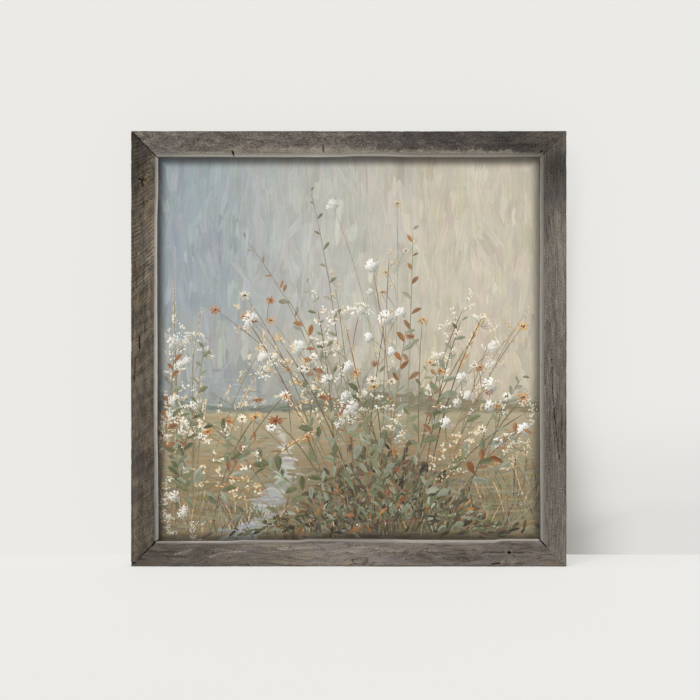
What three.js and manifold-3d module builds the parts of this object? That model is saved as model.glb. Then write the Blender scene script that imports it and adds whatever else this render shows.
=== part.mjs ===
// A square wall picture in a reclaimed-wood frame, in millimetres, +Z up.
//
// Four mitred rails of old barn board make the frame. Each has a rabbet behind its
// inner edge, where a canvas print sits, glued to a thin hardboard panel. Flexible
// steel points hold the panel in, steel wedges driven across each mitre hold the
// rails together, and a sawtooth hanger with two felt bumpers hangs it on a wall.
//
// The origin is where it hangs: the middle notch of the sawtooth hanger, on the plane
// of the wall. The picture faces -Y and the wall is at y = 0.

import * as THREE from 'three';
import { mergeVertices } from 'three/addons/utils/BufferGeometryUtils.js';
import Module from 'manifold-3d';

const wasm = await Module();
wasm.setup();

// ---- Driving dimensions ----------------------------------------------------------

const INCH = 25.4;
const GAP = 0.3; // between pieces that touch on the real thing

const OUTER = 16 * INCH; // outside width and height of the frame
const FACE = 1 * INCH; // width of a rail's front face
const DEPTH = 22.2; // front to back of a rail, an old board's thickness
const LIP = 9.5; // front face to the rabbet's shelf
const RABBET = 6.4; // how far the rabbet reaches behind the inner edge
const BEVEL_WIDTH = 3.7; // worn bevel along the inner edge, seen from the front
const BEVEL_DEPTH = 2.0;
const ARRIS = 0.8; // eased outer front edge
const MITRE_GAP = 0.2; // taken off each rail's mitre, along its length

const PRINT_THICK = 0.8; // canvas with its paint
const BOARD_THICK = 3.2; // hardboard
const PANEL_PLAY = 0.8; // print and board are smaller than the rabbet by this

const POINT = { length: 16, width: 9.5, thick: 0.6, driven: 6, tip: 4 };
const POINTS_AT = [0.22, 0.5, 0.78]; // shares of a rail's length

const WEDGE = { leg: 6, thick: 0.6, tall: 9, proud: 0.3 };
const WEDGES_AT = [5.5, 12.5]; // from the outer edges to the wedge's corner

const STANDOFF = 3.0; // bumpers hold the rails' backs this far off the wall
const NOTCH_DROP = 13.0; // frame's top edge down to the hanger's middle notch
const HANGER = { length: 47, height: 9.5, thick: 1.0, raised: 1.6, span: 26, corner: 2.5 };
const TOOTH = { pitch: 2.4, depth: 1.4, notches: 11 };
const TACK = { headRadius: 2.4, headThick: 1.1, radius: 0.85, length: 10, holeRadius: 1.2, at: 19 };
const BUMPER = { radius: 6, edge: 0.5, inset: 27 };
const ROUND_SIDES = 32;

const SIGHT_EDGE = FACE; // across a rail, from its outer edge
const RABBET_WALL = FACE - RABBET;
const PRINT_FRONT = LIP + GAP; // depths from the front face
const BOARD_FRONT = PRINT_FRONT + PRINT_THICK + GAP;
const POINT_FRONT = BOARD_FRONT + BOARD_THICK + GAP;

// ---- Materials -------------------------------------------------------------------

const finish = (color, roughness, metalness = 0) =>
  new THREE.MeshStandardMaterial({ color, roughness, metalness, flatShading: true });

const WOOD = {
  left: finish(0x5e564b, 0.9),
  top: finish(0x665f59, 0.9),
  right: finish(0x6b655e, 0.9),
  bottom: finish(0x726a61, 0.9),
};
const CANVAS = finish(0xb4aa97, 0.8);
const HARDBOARD = finish(0x6b4a30, 0.75);
const STEEL = finish(0x8d8f91, 0.4, 0.9);
const BRASS = finish(0xb59a5b, 0.35, 0.9);
const FELT = finish(0x3f3a36, 1.0);

// ---- Geometry and solids ---------------------------------------------------------

// A closed three.js geometry as a manifold-3d solid, for cutting.
function solidOf(geometry) {
  const bare = geometry.clone();
  bare.deleteAttribute('normal');
  bare.deleteAttribute('uv');
  const merged = mergeVertices(bare, 1e-4);
  return new wasm.Manifold(new wasm.Mesh({
    numProp: 3,
    vertProperties: merged.attributes.position.array,
    triVerts: new Uint32Array(merged.index.array),
  }));
}

function geometryOf(solid) {
  const mesh = solid.getMesh();
  const geometry = new THREE.BufferGeometry();
  geometry.setAttribute('position', new THREE.BufferAttribute(mesh.vertProperties, 3));
  geometry.setIndex(new THREE.BufferAttribute(mesh.triVerts, 1));
  const flat = geometry.toNonIndexed();
  flat.computeVertexNormals();
  return flat;
}

const outline = (points) => new THREE.Shape(points.map(([x, y]) => new THREE.Vector2(x, y)));

const prism = (shape, depth) =>
  new THREE.ExtrudeGeometry(shape, { depth, bevelEnabled: false, curveSegments: 8 });

// A shape drawn in X and Z, and extruded from y to y + depth.
function slab(shape, y, depth) {
  return prism(shape, depth).rotateX(Math.PI / 2).translate(0, y + depth, 0);
}

// A round piece whose axis is Y. The profile is [radius, y] and closes on the axis.
function turned(profile) {
  const points = profile.map(([radius, y]) => new THREE.Vector2(radius, y));
  return new THREE.LatheGeometry(points, ROUND_SIDES);
}

// ---- Rails -----------------------------------------------------------------------

// Section of a rail: X runs in from the outer edge, Y from the back plane at 0 to the
// front face at -DEPTH.
function railSection() {
  const front = -DEPTH;
  return outline([
    [0, 0],
    [0, front + ARRIS],
    [ARRIS, front],
    [SIGHT_EDGE - BEVEL_WIDTH, front],
    [SIGHT_EDGE, front + BEVEL_DEPTH],
    [SIGHT_EDGE, front + LIP],
    [RABBET_WALL, front + LIP],
    [RABBET_WALL, 0],
  ]);
}

// The section drawn out along Z and cut back at 45 degrees at both ends.
function mitredRail() {
  const rail = prism(railSection(), 1);
  const place = rail.attributes.position;
  for (let i = 0; i < place.count; i++) {
    const end = place.getX(i) + MITRE_GAP;
    place.setZ(i, place.getZ(i) < 0.5 ? end : OUTER - end);
  }
  return rail;
}

// A flexible framing point: a steel strip with a pointed end that is driven into the
// rabbet's wall, and a flat end that lies on the board. Wider by play for its slot.
function framingPoint(along, play = 0) {
  const { length, width, thick, driven, tip } = POINT;
  const half = width / 2 + play;
  const start = RABBET_WALL - driven - play;
  const shape = outline([
    [start, along - 1 - play],
    [start + tip, along - half],
    [start + length + play, along - half],
    [start + length + play, along + half],
    [start + tip, along + half],
    [start, along + 1 + play],
  ]);
  return slab(shape, -DEPTH + POINT_FRONT - play, thick + 2 * play);
}

// A corner wedge: an L of steel with its corner on the mitre, at the same distance from
// both outer edges, and a leg in each rail. Wider by play for its slot.
function cornerWedge(at, play = 0) {
  const { leg, thick, tall, proud } = WEDGE;
  const near = at - thick / 2 - play;
  const far = at + thick / 2 + play;
  const reach = at + leg + play;
  const shape = outline([
    [near, near], [reach, near], [reach, far], [far, far], [far, reach], [near, reach],
  ]);
  return slab(shape, -tall - play, tall + proud + 2 * play);
}

function railCuts() {
  const cuts = POINTS_AT.map((share) => solidOf(framingPoint(share * OUTER, GAP)));
  for (const at of WEDGES_AT) {
    cuts.push(solidOf(cornerWedge(at, GAP)));
    // The rail's other end has the same slot, a quarter turn round.
    cuts.push(solidOf(cornerWedge(at, GAP).rotateY(Math.PI / 2).translate(0, 0, OUTER)));
  }
  return cuts;
}

// A pilot hole in a rail's back for one of the hanger's tacks, which sit either side of
// the rail's middle.
function tackHole(side) {
  const across = NOTCH_DROP - HANGER.height / 2 + TOOTH.depth;
  const deep = TACK.length;
  return solidOf(turned([[0, -deep], [TACK.holeRadius, -deep], [TACK.holeRadius, 1], [0, 1]])
    .translate(across, 0, OUTER / 2 + side * TACK.at));
}

// ---- Hanger, tacks and bumpers ---------------------------------------------------

// The hanger is where two outlines cross: the bent strip seen from above, and the
// plate seen from behind, with its teeth along the lower edge and its two holes.
function sawtoothHanger() {
  const { length, height, thick, raised, span, corner } = HANGER;
  const end = length / 2;
  const foot = span / 2 + raised;
  const slant = thick * (Math.SQRT2 - 1);
  const strip = outline([
    [-end, 0], [-foot, 0], [-foot + raised, raised], [foot - raised, raised],
    [foot, 0], [end, 0], [end, thick], [foot + slant, thick],
    [foot + slant - raised, raised + thick], [-foot - slant + raised, raised + thick],
    [-foot - slant, thick], [-end, thick],
  ]);
  const side = prism(strip, height * 2).translate(0, 0, -height);

  const low = -TOOTH.depth;
  const top = low + height;
  const plate = new THREE.Shape();
  plate.moveTo(-end + corner, low);
  const first = -(TOOTH.notches - 1) / 2;
  for (let n = 0; n < TOOTH.notches; n++) {
    const middle = (first + n) * TOOTH.pitch;
    plate.lineTo(middle - TOOTH.pitch / 2, low);
    plate.lineTo(middle, 0);
  }
  plate.lineTo(-first * TOOTH.pitch + TOOTH.pitch / 2, low);
  plate.lineTo(end - corner, low);
  plate.absarc(end - corner, low + corner, corner, -Math.PI / 2, 0);
  plate.absarc(end - corner, top - corner, corner, 0, Math.PI / 2);
  plate.absarc(-end + corner, top - corner, corner, Math.PI / 2, Math.PI);
  plate.absarc(-end + corner, low + corner, corner, Math.PI, 1.5 * Math.PI);
  for (const at of [-TACK.at, TACK.at]) {
    const hole = new THREE.Path();
    hole.absarc(at, low + height / 2, TACK.holeRadius, 0, 2 * Math.PI, true);
    plate.holes.push(hole);
  }
  const front = prism(plate, 2 * DEPTH).rotateX(Math.PI / 2).translate(0, DEPTH, 0);
  return geometryOf(solidOf(side).intersect(solidOf(front)));
}

function tack() {
  const { headRadius, headThick, radius, length } = TACK;
  return turned([
    [0, GAP - length], [radius, 1.5 - length], [radius, 0], [headRadius, 0],
    [headRadius * 0.8, headThick * 0.7], [headRadius * 0.4, headThick], [0, headThick],
  ]);
}

function bumper() {
  const { radius, edge } = BUMPER;
  const thick = STANDOFF - GAP;
  return turned([
    [0, 0], [radius, 0], [radius, thick - edge], [radius - edge, thick], [0, thick],
  ]);
}

// ---- Assembly --------------------------------------------------------------------

function addPiece(parent, name, geometry, material) {
  const mesh = new THREE.Mesh(geometry, material);
  mesh.name = name;
  parent.add(mesh);
  return mesh;
}

// The picture's own frame: its centre, on the plane of the rails' backs.
const picture = new THREE.Group();
picture.position.set(0, -STANDOFF, NOTCH_DROP - OUTER / 2);

const bareRail = solidOf(mitredRail()).subtract(wasm.Manifold.union(railCuts()));
const SIDES = [
  ['left', 'bottom_left'], ['top', 'top_left'], ['right', 'top_right'], ['bottom', 'bottom_right'],
];
SIDES.forEach(([side, start], quarter) => {
  // Each rail is the left one turned clockwise, seen from the front. It begins at the
  // outer corner that its wedges are named for.
  const turn = new THREE.Group();
  turn.rotation.y = quarter * Math.PI / 2;
  picture.add(turn);
  const corner = new THREE.Group();
  corner.position.set(-OUTER / 2, 0, -OUTER / 2);
  turn.add(corner);

  let rail = bareRail;
  if (side === 'top') rail = rail.subtract(tackHole(-1)).subtract(tackHole(1));
  addPiece(corner, `rail_${side}`, geometryOf(rail), WOOD[side]);
  POINTS_AT.forEach((share, n) => {
    addPiece(corner, `framing_point_${side}_${n + 1}`, framingPoint(share * OUTER), STEEL);
  });
  WEDGES_AT.forEach((at, n) => {
    addPiece(corner, `wedge_${start}_${n + 1}`, cornerWedge(at), STEEL);
  });
});

const panelSide = OUTER - 2 * RABBET_WALL - PANEL_PLAY;
const panel = (front, thick) =>
  new THREE.BoxGeometry(panelSide, thick, panelSide).translate(0, front + thick / 2 - DEPTH, 0);
addPiece(picture, 'art_print', panel(PRINT_FRONT, PRINT_THICK), CANVAS);
addPiece(picture, 'backing_board', panel(BOARD_FRONT, BOARD_THICK), HARDBOARD);

const hanging = new THREE.Group();
hanging.position.set(0, GAP, OUTER / 2 - NOTCH_DROP);
picture.add(hanging);
addPiece(hanging, 'sawtooth_hanger', sawtoothHanger(), BRASS);
for (const [name, at] of [['left', -TACK.at], ['right', TACK.at]]) {
  addPiece(hanging, `hanger_tack_${name}`, tack(), BRASS)
    .position.set(at, HANGER.thick + GAP, HANGER.height / 2 - TOOTH.depth);
}

const bumperAt = OUTER / 2 - BUMPER.inset;
for (const [name, x] of [['left', -bumperAt], ['right', bumperAt]]) {
  addPiece(picture, `bumper_${name}`, bumper(), FELT)
    .position.set(x, GAP, -OUTER / 2 + RABBET_WALL / 2);
}

const part = new THREE.Group();
part.add(picture);

export default part;
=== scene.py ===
# %% [markdown]
# # A picture in a frame of old barn boards
#
# A square wall picture: four mitred rails sawn from weathered boards, and a painted
# canvas in the recess between them. The solids come from a packed model and stay where
# they are. This file gives them their surfaces: wood with real relief, a canvas with
# brush strokes that stand up from it, and a finish for the small steel parts behind.

# %% Load the packed model
import math

import bpy
import numpy as np
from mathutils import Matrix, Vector


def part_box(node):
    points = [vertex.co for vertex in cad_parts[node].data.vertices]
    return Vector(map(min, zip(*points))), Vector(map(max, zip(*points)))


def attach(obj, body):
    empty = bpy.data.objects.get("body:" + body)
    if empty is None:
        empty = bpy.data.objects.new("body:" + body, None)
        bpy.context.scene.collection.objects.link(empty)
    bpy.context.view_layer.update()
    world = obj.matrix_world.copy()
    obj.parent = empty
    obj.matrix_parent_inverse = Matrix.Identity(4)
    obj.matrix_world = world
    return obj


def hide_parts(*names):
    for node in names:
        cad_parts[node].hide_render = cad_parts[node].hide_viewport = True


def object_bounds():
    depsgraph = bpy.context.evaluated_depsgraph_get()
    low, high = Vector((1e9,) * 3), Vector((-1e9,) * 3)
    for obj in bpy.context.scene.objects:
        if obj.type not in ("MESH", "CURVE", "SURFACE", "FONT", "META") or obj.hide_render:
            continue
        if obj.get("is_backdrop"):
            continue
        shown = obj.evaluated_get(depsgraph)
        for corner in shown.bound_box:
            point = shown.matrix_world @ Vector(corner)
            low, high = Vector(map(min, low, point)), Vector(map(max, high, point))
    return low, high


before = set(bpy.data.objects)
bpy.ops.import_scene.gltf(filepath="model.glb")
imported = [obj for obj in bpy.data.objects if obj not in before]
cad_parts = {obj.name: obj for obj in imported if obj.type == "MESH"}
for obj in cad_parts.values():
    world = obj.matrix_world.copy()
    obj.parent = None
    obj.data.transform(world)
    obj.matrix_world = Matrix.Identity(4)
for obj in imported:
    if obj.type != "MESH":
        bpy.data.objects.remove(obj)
cad_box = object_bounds()
print("solids span", [round(1000 * side, 1) for side in cad_box[1] - cad_box[0]], "mm")

# %% [markdown]
# The frame's own sizes are read from its solids, so that nothing has to be fitted
# later. Lengths are kept in millimetres, because boards and brush strokes are easy to
# think about in them, and MM turns them into the scene's metres.

# %% Sizes of the frame
MM = 0.001

left_low, left_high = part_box("rail_left")
right_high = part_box("rail_right")[1]
print_low, print_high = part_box("art_print")
bottom_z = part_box("rail_bottom")[0].z
top_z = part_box("rail_top")[1].z

OUTER = (right_high.x - left_low.x) / MM
FACE = (left_high.x - left_low.x) / MM
DEPTH = (left_high.y - left_low.y) / MM
SIGHT = OUTER - 2 * FACE  # the opening
SHEET = (print_high.x - print_low.x) / MM
SHEET_DEPTH = (print_low.y - left_low.y) / MM  # from the face down to the canvas
SHEET_PLAY = 0.3  # between the canvas and the lip in front of it
LIP = SHEET_DEPTH - SHEET_PLAY
RABBET = 6.4  # how far the recess reaches behind the lip
ARRIS = 0.8  # the small flat along the outer edge
CENTRE = Vector((0, left_high.y, (bottom_z + top_z) / 2))
print(f"outer {OUTER:.1f}, face {FACE:.1f}, depth {DEPTH:.1f}, opening {SIGHT:.1f} mm")

# %% [markdown]
# ## The camera
#
# The picture is seen straight on, so a long lens far away keeps its sides parallel.
# Its distance follows from how much of the view's width the frame fills. The camera
# looks at a point slightly right of and below the middle of the picture.

# %% Camera
LENS = 85.0
SENSOR = 36.0
VIEW_PIXELS, FRAME_PIXELS, OFF_PIXELS = 700, 435.5, 1.2  # view, frame, frame's offset
PIXEL = OUTER * MM / FRAME_PIXELS  # one pixel's width at the frame's face
SHOWN = VIEW_PIXELS * PIXEL
AIM_OFFSET = OFF_PIXELS * PIXEL

camera_data = bpy.data.cameras.new("camera")
camera_data.lens = LENS
camera_data.sensor_width = SENSOR
camera = bpy.data.objects.new("camera", camera_data)
bpy.context.collection.objects.link(camera)
bpy.context.scene.camera = camera
distance = SHOWN * LENS / SENSOR
camera.location = (AIM_OFFSET, left_low.y - distance, CENTRE.z - AIM_OFFSET)
camera.rotation_euler = (math.radians(90), 0, 0)
print(f"camera {distance:.2f} m in front of the face")

# %% [markdown]
# ## Colours
#
# Colours are easiest to judge as a screen shows them, 0 to 255. Shaders mix light, so
# they need the linear values behind those.

# %% Colours
def linear(*rgb):
    """A screen colour, 0 to 255, as the linear values that shaders work in."""
    share = np.asarray(rgb, float) / 255
    return np.where(share <= 0.04045, share / 12.92, ((share + 0.055) / 1.055) ** 2.4)


def colour(*rgb):
    return (*linear(*rgb), 1.0)


print("a screen's middle grey as light:", colour(128, 128, 128)[0].round(3))

# %% [markdown]
# ## A notebook for shader nodes
#
# A node tree is easier to read as sums. Wire holds one output socket and adds a Math
# node for each operator, and Finish adds every other node through one method, which
# sets the node's options first and then its sockets.

# %% Wires and finishes
class Wire:
    """An output socket that can be used in a sum."""

    def __init__(self, finish, socket):
        self.finish, self.socket = finish, socket

    def __add__(self, other):
        return self.finish.math("ADD", self, other)

    __radd__ = __add__

    def __sub__(self, other):
        return self.finish.math("SUBTRACT", self, other)

    def __rsub__(self, other):
        return self.finish.math("SUBTRACT", other, self)

    def __mul__(self, other):
        return self.finish.math("MULTIPLY", self, other)

    __rmul__ = __mul__


class Finish:
    """A material, and short ways to add nodes to it."""

    def __init__(self, name):
        self.material = bpy.data.materials.new(name)
        self.material.use_nodes = True
        self.tree = self.material.node_tree
        self.shader = self.tree.nodes["Principled BSDF"]

    def put(self, socket, value):
        if isinstance(value, Wire):
            self.tree.links.new(value.socket, socket)
        elif value is not None:
            socket.default_value = value

    def node(self, kind, settings=None, sockets=None, output=0):
        made = self.tree.nodes.new("ShaderNode" + kind)
        for key, value in (settings or {}).items():
            if key == "stops":
                ramp = made.color_ramp
                while len(ramp.elements) < len(value):
                    ramp.elements.new(0.5)
                for element, (position, tint) in zip(ramp.elements, value):
                    element.position = position
                    element.color = tint
            else:
                setattr(made, key, value)
        for key, value in (sockets or {}).items():
            self.put(made.inputs[key], value)
        return Wire(self, made.outputs[output])

    def math(self, operation, a, b=None):
        return self.node("Math", {"operation": operation}, {0: a, 1: b})

    def stretched(self, place, scale):
        return self.node("VectorMath", {"operation": "MULTIPLY"}, {0: place, 1: scale})

    def noise(self, place, scale, detail, roughness=0.5, warp=0.0):
        sockets = {"Vector": self.stretched(place, scale), "Scale": 1.0, "Detail": detail,
                   "Roughness": roughness, "Distortion": warp}
        return self.node("TexNoise", {}, sockets, "Fac")

    def between(self, value, low, high, out_low=0.0, out_high=1.0):
        """A soft step: out_low below low, out_high above high."""
        settings = {"interpolation_type": "SMOOTHSTEP", "clamp": True}
        sockets = {"Value": value, "From Min": low, "From Max": high,
                   "To Min": out_low, "To Max": out_high}
        return self.node("MapRange", settings, sockets)

    def mix(self, share, a, b, blend="MIX"):
        settings = {"data_type": "RGBA", "blend_type": blend, "clamp_factor": True}
        return self.node("Mix", settings, {0: share, 6: a, 7: b}, 2)

    def layer(self, share, base, *rgb):
        """Lays a screen colour over base where share says so."""
        return self.mix(share, base, colour(*rgb))

    def scaled(self, tint, factor):
        """A colour made lighter or darker by a number that may change from place to place."""
        grey = self.node("CombineColor", {}, {0: factor, 1: factor, 2: factor})
        return self.mix(1.0, tint, grey, "MULTIPLY")

    def parts(self, vector):
        made = self.node("SeparateXYZ", {}, {0: vector}).socket.node
        return [Wire(self, output) for output in made.outputs]

    def attribute(self, name, output="Fac"):
        return self.node("Attribute", {"attribute_name": name}, {}, output)

    def object_place(self):
        """The place on the object, in metres."""
        return self.node("TexCoord", {}, {}, "Object")

    def bump(self, height, strength, distance_mm):
        sockets = {"Height": height, "Strength": strength, "Distance": distance_mm * MM}
        return self.node("Bump", {}, sockets)

    def shade(self, **sockets):
        for name, value in sockets.items():
            self.put(self.shader.inputs[name.replace("_", " ")], value)
        return self.material


print("a finish can", [name for name in vars(Finish) if not name.startswith("_")])

# %% [markdown]
# ## Random hills
#
# Relief and colour both need noise that is the same on every run. This helper lays a
# seeded grid of random heights and blends smoothly between them.

# %% Seeded noise
def hills(x, y, seed):
    """Smooth hills between -1 and 1, with one random height per unit of x and y."""
    x, y = np.broadcast_arrays(x, y)
    column, row = np.floor(x).astype(int), np.floor(y).astype(int)
    fx, fy = x - column, y - row
    column, row = column - column.min(), row - row.min()
    shape = (column.max() + 2, row.max() + 2)
    heights = np.random.default_rng(seed).uniform(-1, 1, shape)
    fx, fy = fx * fx * (3 - 2 * fx), fy * fy * (3 - 2 * fy)
    near = heights[column, row] * (1 - fx) + heights[column + 1, row] * fx
    far = heights[column, row + 1] * (1 - fx) + heights[column + 1, row + 1] * fx
    return near * (1 - fy) + far * fy


def rough_hills(x, y, seed, octaves=3):
    """Hills with smaller hills on them."""
    total = sum(hills(x * 2**n, y * 2**n, seed + n) / 2**n for n in range(octaves))
    return total / (2 - 2 ** (1 - octaves))


def soft_step(value, low, high):
    share = np.clip((value - low) / (high - low), 0, 1)
    return share * share * (3 - 2 * share)


print("three hills:", hills(np.array([0.5, 1.5, 2.5]), 0.5, 1).round(2))

# %% [markdown]
# ## The boards
#
# Old barn siding is never flat. The saw left slanting scratches, soft spring wood has
# weathered away between the hard rings, and there are drying cracks, knots and old
# nail holes. A plain box with a bump map would stay straight at its outline, so each
# rail is a fine grid swept round the rail's section, with its relief in the vertices.
#
# The four rails come from four different boards, and each board is a list of features.
# Places are in mm along the rail, clockwise from its first corner, and across it from
# the outer edge. A list of pairs gives a value at places along the rail.
#
# - bevel is the width of the worn slope at the opening, lip makes it wider or narrower,
#   and edge moves it into the opening or, below zero, back from it.
# - grain and saw are the heights of the fibres and of the saw's scratches, and
#   saw_shown says how plain the scratches are.
# - light is how light the slope is and shade how light the face is. Tilt makes the face
#   lighter towards the opening. A patch has its place, its reach along and across, and
#   how much lighter or darker it is.
# - worn_from says where, across the board, its dark film begins to be rubbed off.
# - Stains, knots and holes have a place and a size, scuffs a line and a width, and
#   cracks a line, a width and a depth.
# - opens says how wide the mitres gape at the rail's two ends, at places across it.

# %% A plain board, and the gaps of the mitres
BOARDS = {}
PLAIN_BOARD = {
    "lip": [(0, 1.0)], "saw": 0.03, "saw_shown": [(0, 1.0)], "tilt": [(0, 0.0)],
    "worn_from": [(0, 99)], "scuffs": [], "knots": [], "holes": [],
}
TOP_LEFT_GAP = [(0, 0.62), (8, 0.48), (FACE, 0.38)]
TOP_RIGHT_GAP = [(0, 0.0), (17, 0.02), (FACE, 0.3)]
BOTTOM_RIGHT_GAP = [(0, -0.1), (17, -0.08), (20, 0.35), (22, 0.85), (FACE, 1.15)]
BOTTOM_LEFT_GAP = [(3, -0.2), (8, 0.1), (12, 0.35), (19, 0.5), (FACE, 0.3)]
LEFT_BOTTOM_GAP = [(3, -0.2), (7, 0.15), (11, 0.5), (19, 0.7), (23, 0.85), (FACE, 0.4)]


def add_board(side, **features):
    """Lists one board: a plain board with features of its own."""
    board = BOARDS[side] = PLAIN_BOARD | features
    print(side, "board:", {name: len(board[name]) for name in ("cracks", "knots", "patches")})


def listed(pairs, along):
    """The value at each place, from a list of pairs."""
    return np.interp(along, *zip(*pairs))


# %% [markdown]
# The left board is brown, and its face is full of saw scratches. Its upper end is darker
# and has two knots, with cracks that run round them.

# %% The left board
add_board(
    "left",
    seed=11,
    bevel=3.3,
    lip=[(20, 0.85), (70, 1.0), (110, 0.92), (150, 1.0), (200, 1.0), (240, 0.88),
         (280, 0.82), (370, 0.76)],
    saw=0.19,
    saw_shown=[(0, 0.15), (170, 0.3), (215, 0.55), (262, 0.8), (330, 1.0), (406, 0.85)],
    grain=0.05,
    edge=[(0, -0.3), (55, -0.1), (77, -0.4), (100, -0.5), (122, -1.05), (167, -1.0),
          (211, -1.0), (240, -1.25), (324, -1.3), (350, -0.4)],
    light=[(0, 0.88), (60, 0.90), (110, 1.0), (150, 1.07), (320, 1.09), (370, 0.98)],
    shade=[(0, 0.76), (30, 0.74), (90, 0.68), (150, 0.76), (220, 0.88), (285, 1.0),
           (320, 0.92), (335, 0.74), (362, 0.57), (406, 0.50)],
    tilt=[(190, -0.1), (230, 0.4), (320, 0.45), (335, 0.84), (362, 0.94), (406, 0.75)],
    patches=[(182, 15.0, 9, 4, -0.28), (277, 2.5, 9, 4, -0.28), (316, 13.0, 13, 5, 0.3),
             (198, 10.0, 5, 5, 0.2), (250, 14.0, 8, 6, -0.2), (86, 12.0, 6, 4, -0.22)],
    stains=[(341, 15.5, 4.5), (362, 13.0, 2.6), (250, 18.0, 6.0)],
    scuffs=[([(367, 15.4), (363.5, 12.4), (358, 12.2), (354.5, 14.5)], 0.9)],
    cracks=[
        ([(203.5, 7.8), (209, 7.1), (214.5, 7.5)], 0.8, 1.2),
        ([(219, 12.6), (232, 12.1), (244, 12.5)], 0.35, 0.45),
        ([(197, 5.2), (194.5, 3.5), (185, 2.9), (172, 2.5)], 0.5, 0.4),
        ([(355.6, 10.4), (359, 9.5), (362.8, 10.9)], 0.8, 1.3),
        ([(361.2, 10.2), (362.2, 7.0)], 0.8, 1.2),
        ([(334, 2.3), (300, 2.1), (266, 2.6)], 0.35, 0.22),
        ([(272, 4.7), (245, 4.2), (216, 4.5)], 0.35, 0.25),
        ([(262, 1.9), (230, 1.6), (218, 2.2)], 0.3, 0.25),
        ([(388, 17.6), (381, 16.8), (374, 18.6), (371, 21.5)], 0.4, 0.25),
        ([(3.0, -2.0), (3.0, 4.4)], 0.7, 2.0),
    ],
    knots=[(361, 12.6, 3.4), (341, 14.5, 2.4)],
    opens=[LEFT_BOTTOM_GAP, TOP_LEFT_GAP])

# %% [markdown]
# The top board is the darkest. Along the opening its dark film is rubbed off, in a strip
# with a ragged edge, and three nails have left their holes.

# %% The top board
add_board(
    "top",
    seed=23,
    bevel=3.4,
    grain=0.09,
    worn_from=[(0, 30), (30, 25), (42, 20.5), (80, 19.0), (108, 15.0), (182, 14.8),
               (205, 17.5), (315, 17.6), (340, 19.0), (370, 21.0), (388, 30)],
    edge=[(83, -1.75), (105, -1.5), (172, -1.4), (195, -1.6), (209, -2.35),
          (236, -2.25), (258, -1.55), (335, -1.5), (360, -1.85)],
    light=[(38, 0.92), (60, 1.0), (150, 1.05), (172, 1.12), (195, 1.04), (240, 1.03),
           (262, 0.93), (340, 0.9), (380, 0.76)],
    shade=[(0, 1.0), (60, 0.90), (205, 0.82), (240, 0.58), (315, 0.50), (338, 0.40),
           (362, 0.39), (385, 0.40), (406, 0.52)],
    patches=[(382, 3.0, 22, 4, 0.36), (350, 10.0, 9, 6, -0.32), (210, 13.0, 6, 7, -0.24),
             (221, 4.0, 7, 3, 0.22), (87, 3.5, 11, 5, -0.26), (298, 9.0, 14, 4, -0.2),
             (255, 3.0, 7, 3, -0.26), (375, 11.0, 8, 5, -0.2)],
    stains=[(399, 3.5, 4.0)],
    cracks=[
        ([(94.4, 18.9), (95.8, 21.3), (96.6, 24.2)], 0.85, 1.8),
        ([(179, 12.6), (179.4, 19.8)], 1.1, 0.32),
    ],
    holes=[(382.3, 19.3, 0.9), (377.6, 12.8, 0.6), (249, 18.6, 0.5)],
    opens=[TOP_LEFT_GAP, TOP_RIGHT_GAP])

# %% [markdown]
# The right board is grey, and its fine straight grain has opened in long shallow cracks.

# %% The right board
add_board(
    "right",
    seed=37,
    bevel=3.6,
    grain=0.15,
    edge=[(38, -0.95), (60, -0.55), (110, -0.85), (190, -0.5), (260, -0.7),
          (307, -1.0), (330, -1.2), (400, -1.6)],
    light=[(30, 0.76), (60, 0.85), (105, 0.93), (200, 0.97), (300, 0.95), (380, 0.88)],
    shade=[(0, 0.70), (12, 0.50), (28, 0.42), (58, 0.50), (84, 1.0), (120, 1.12),
           (165, 1.06), (200, 0.90), (240, 0.93), (280, 0.88), (330, 0.92), (406, 0.92)],
    tilt=[(60, -0.1), (90, -0.4), (125, -0.1), (406, 0.0)],
    patches=[(36, 9.5, 12, 6, -0.32), (58, 2.0, 10, 3, 0.3), (280, 5.0, 20, 8, -0.24),
             (90, 18.5, 20, 4, -0.22), (240, 19.5, 10, 3, 0.16), (15, 2.5, 8, 4, 0.12)],
    stains=[(10, 5.0, 4.0)],
    scuffs=[([(238, 19.6), (244, 20.2), (252, 19.4)], 0.7)],
    cracks=[
        ([(212, 13.4), (240, 12.4), (262, 11.0), (284, 8.6), (306, 6.0)], 0.35, 0.5),
        ([(262, 11.0), (276, 11.6), (292, 10.2)], 0.3, 0.4),
        ([(248, 3.6), (275, 3.9), (300, 2.9)], 0.3, 0.4),
        ([(224, 5.4), (246, 5.8), (262, 5.0)], 0.3, 0.3),
        ([(258, 15.2), (284, 14.8), (300, 15.6)], 0.3, 0.3),
    ],
    knots=[(295, 17.6, 2.0)],
    opens=[TOP_RIGHT_GAP, BOTTOM_RIGHT_GAP])

# %% [markdown]
# The bottom board is the lightest, with wide swirling rings, pale scuffs and a nail hole
# in the middle of a knot.

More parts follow.
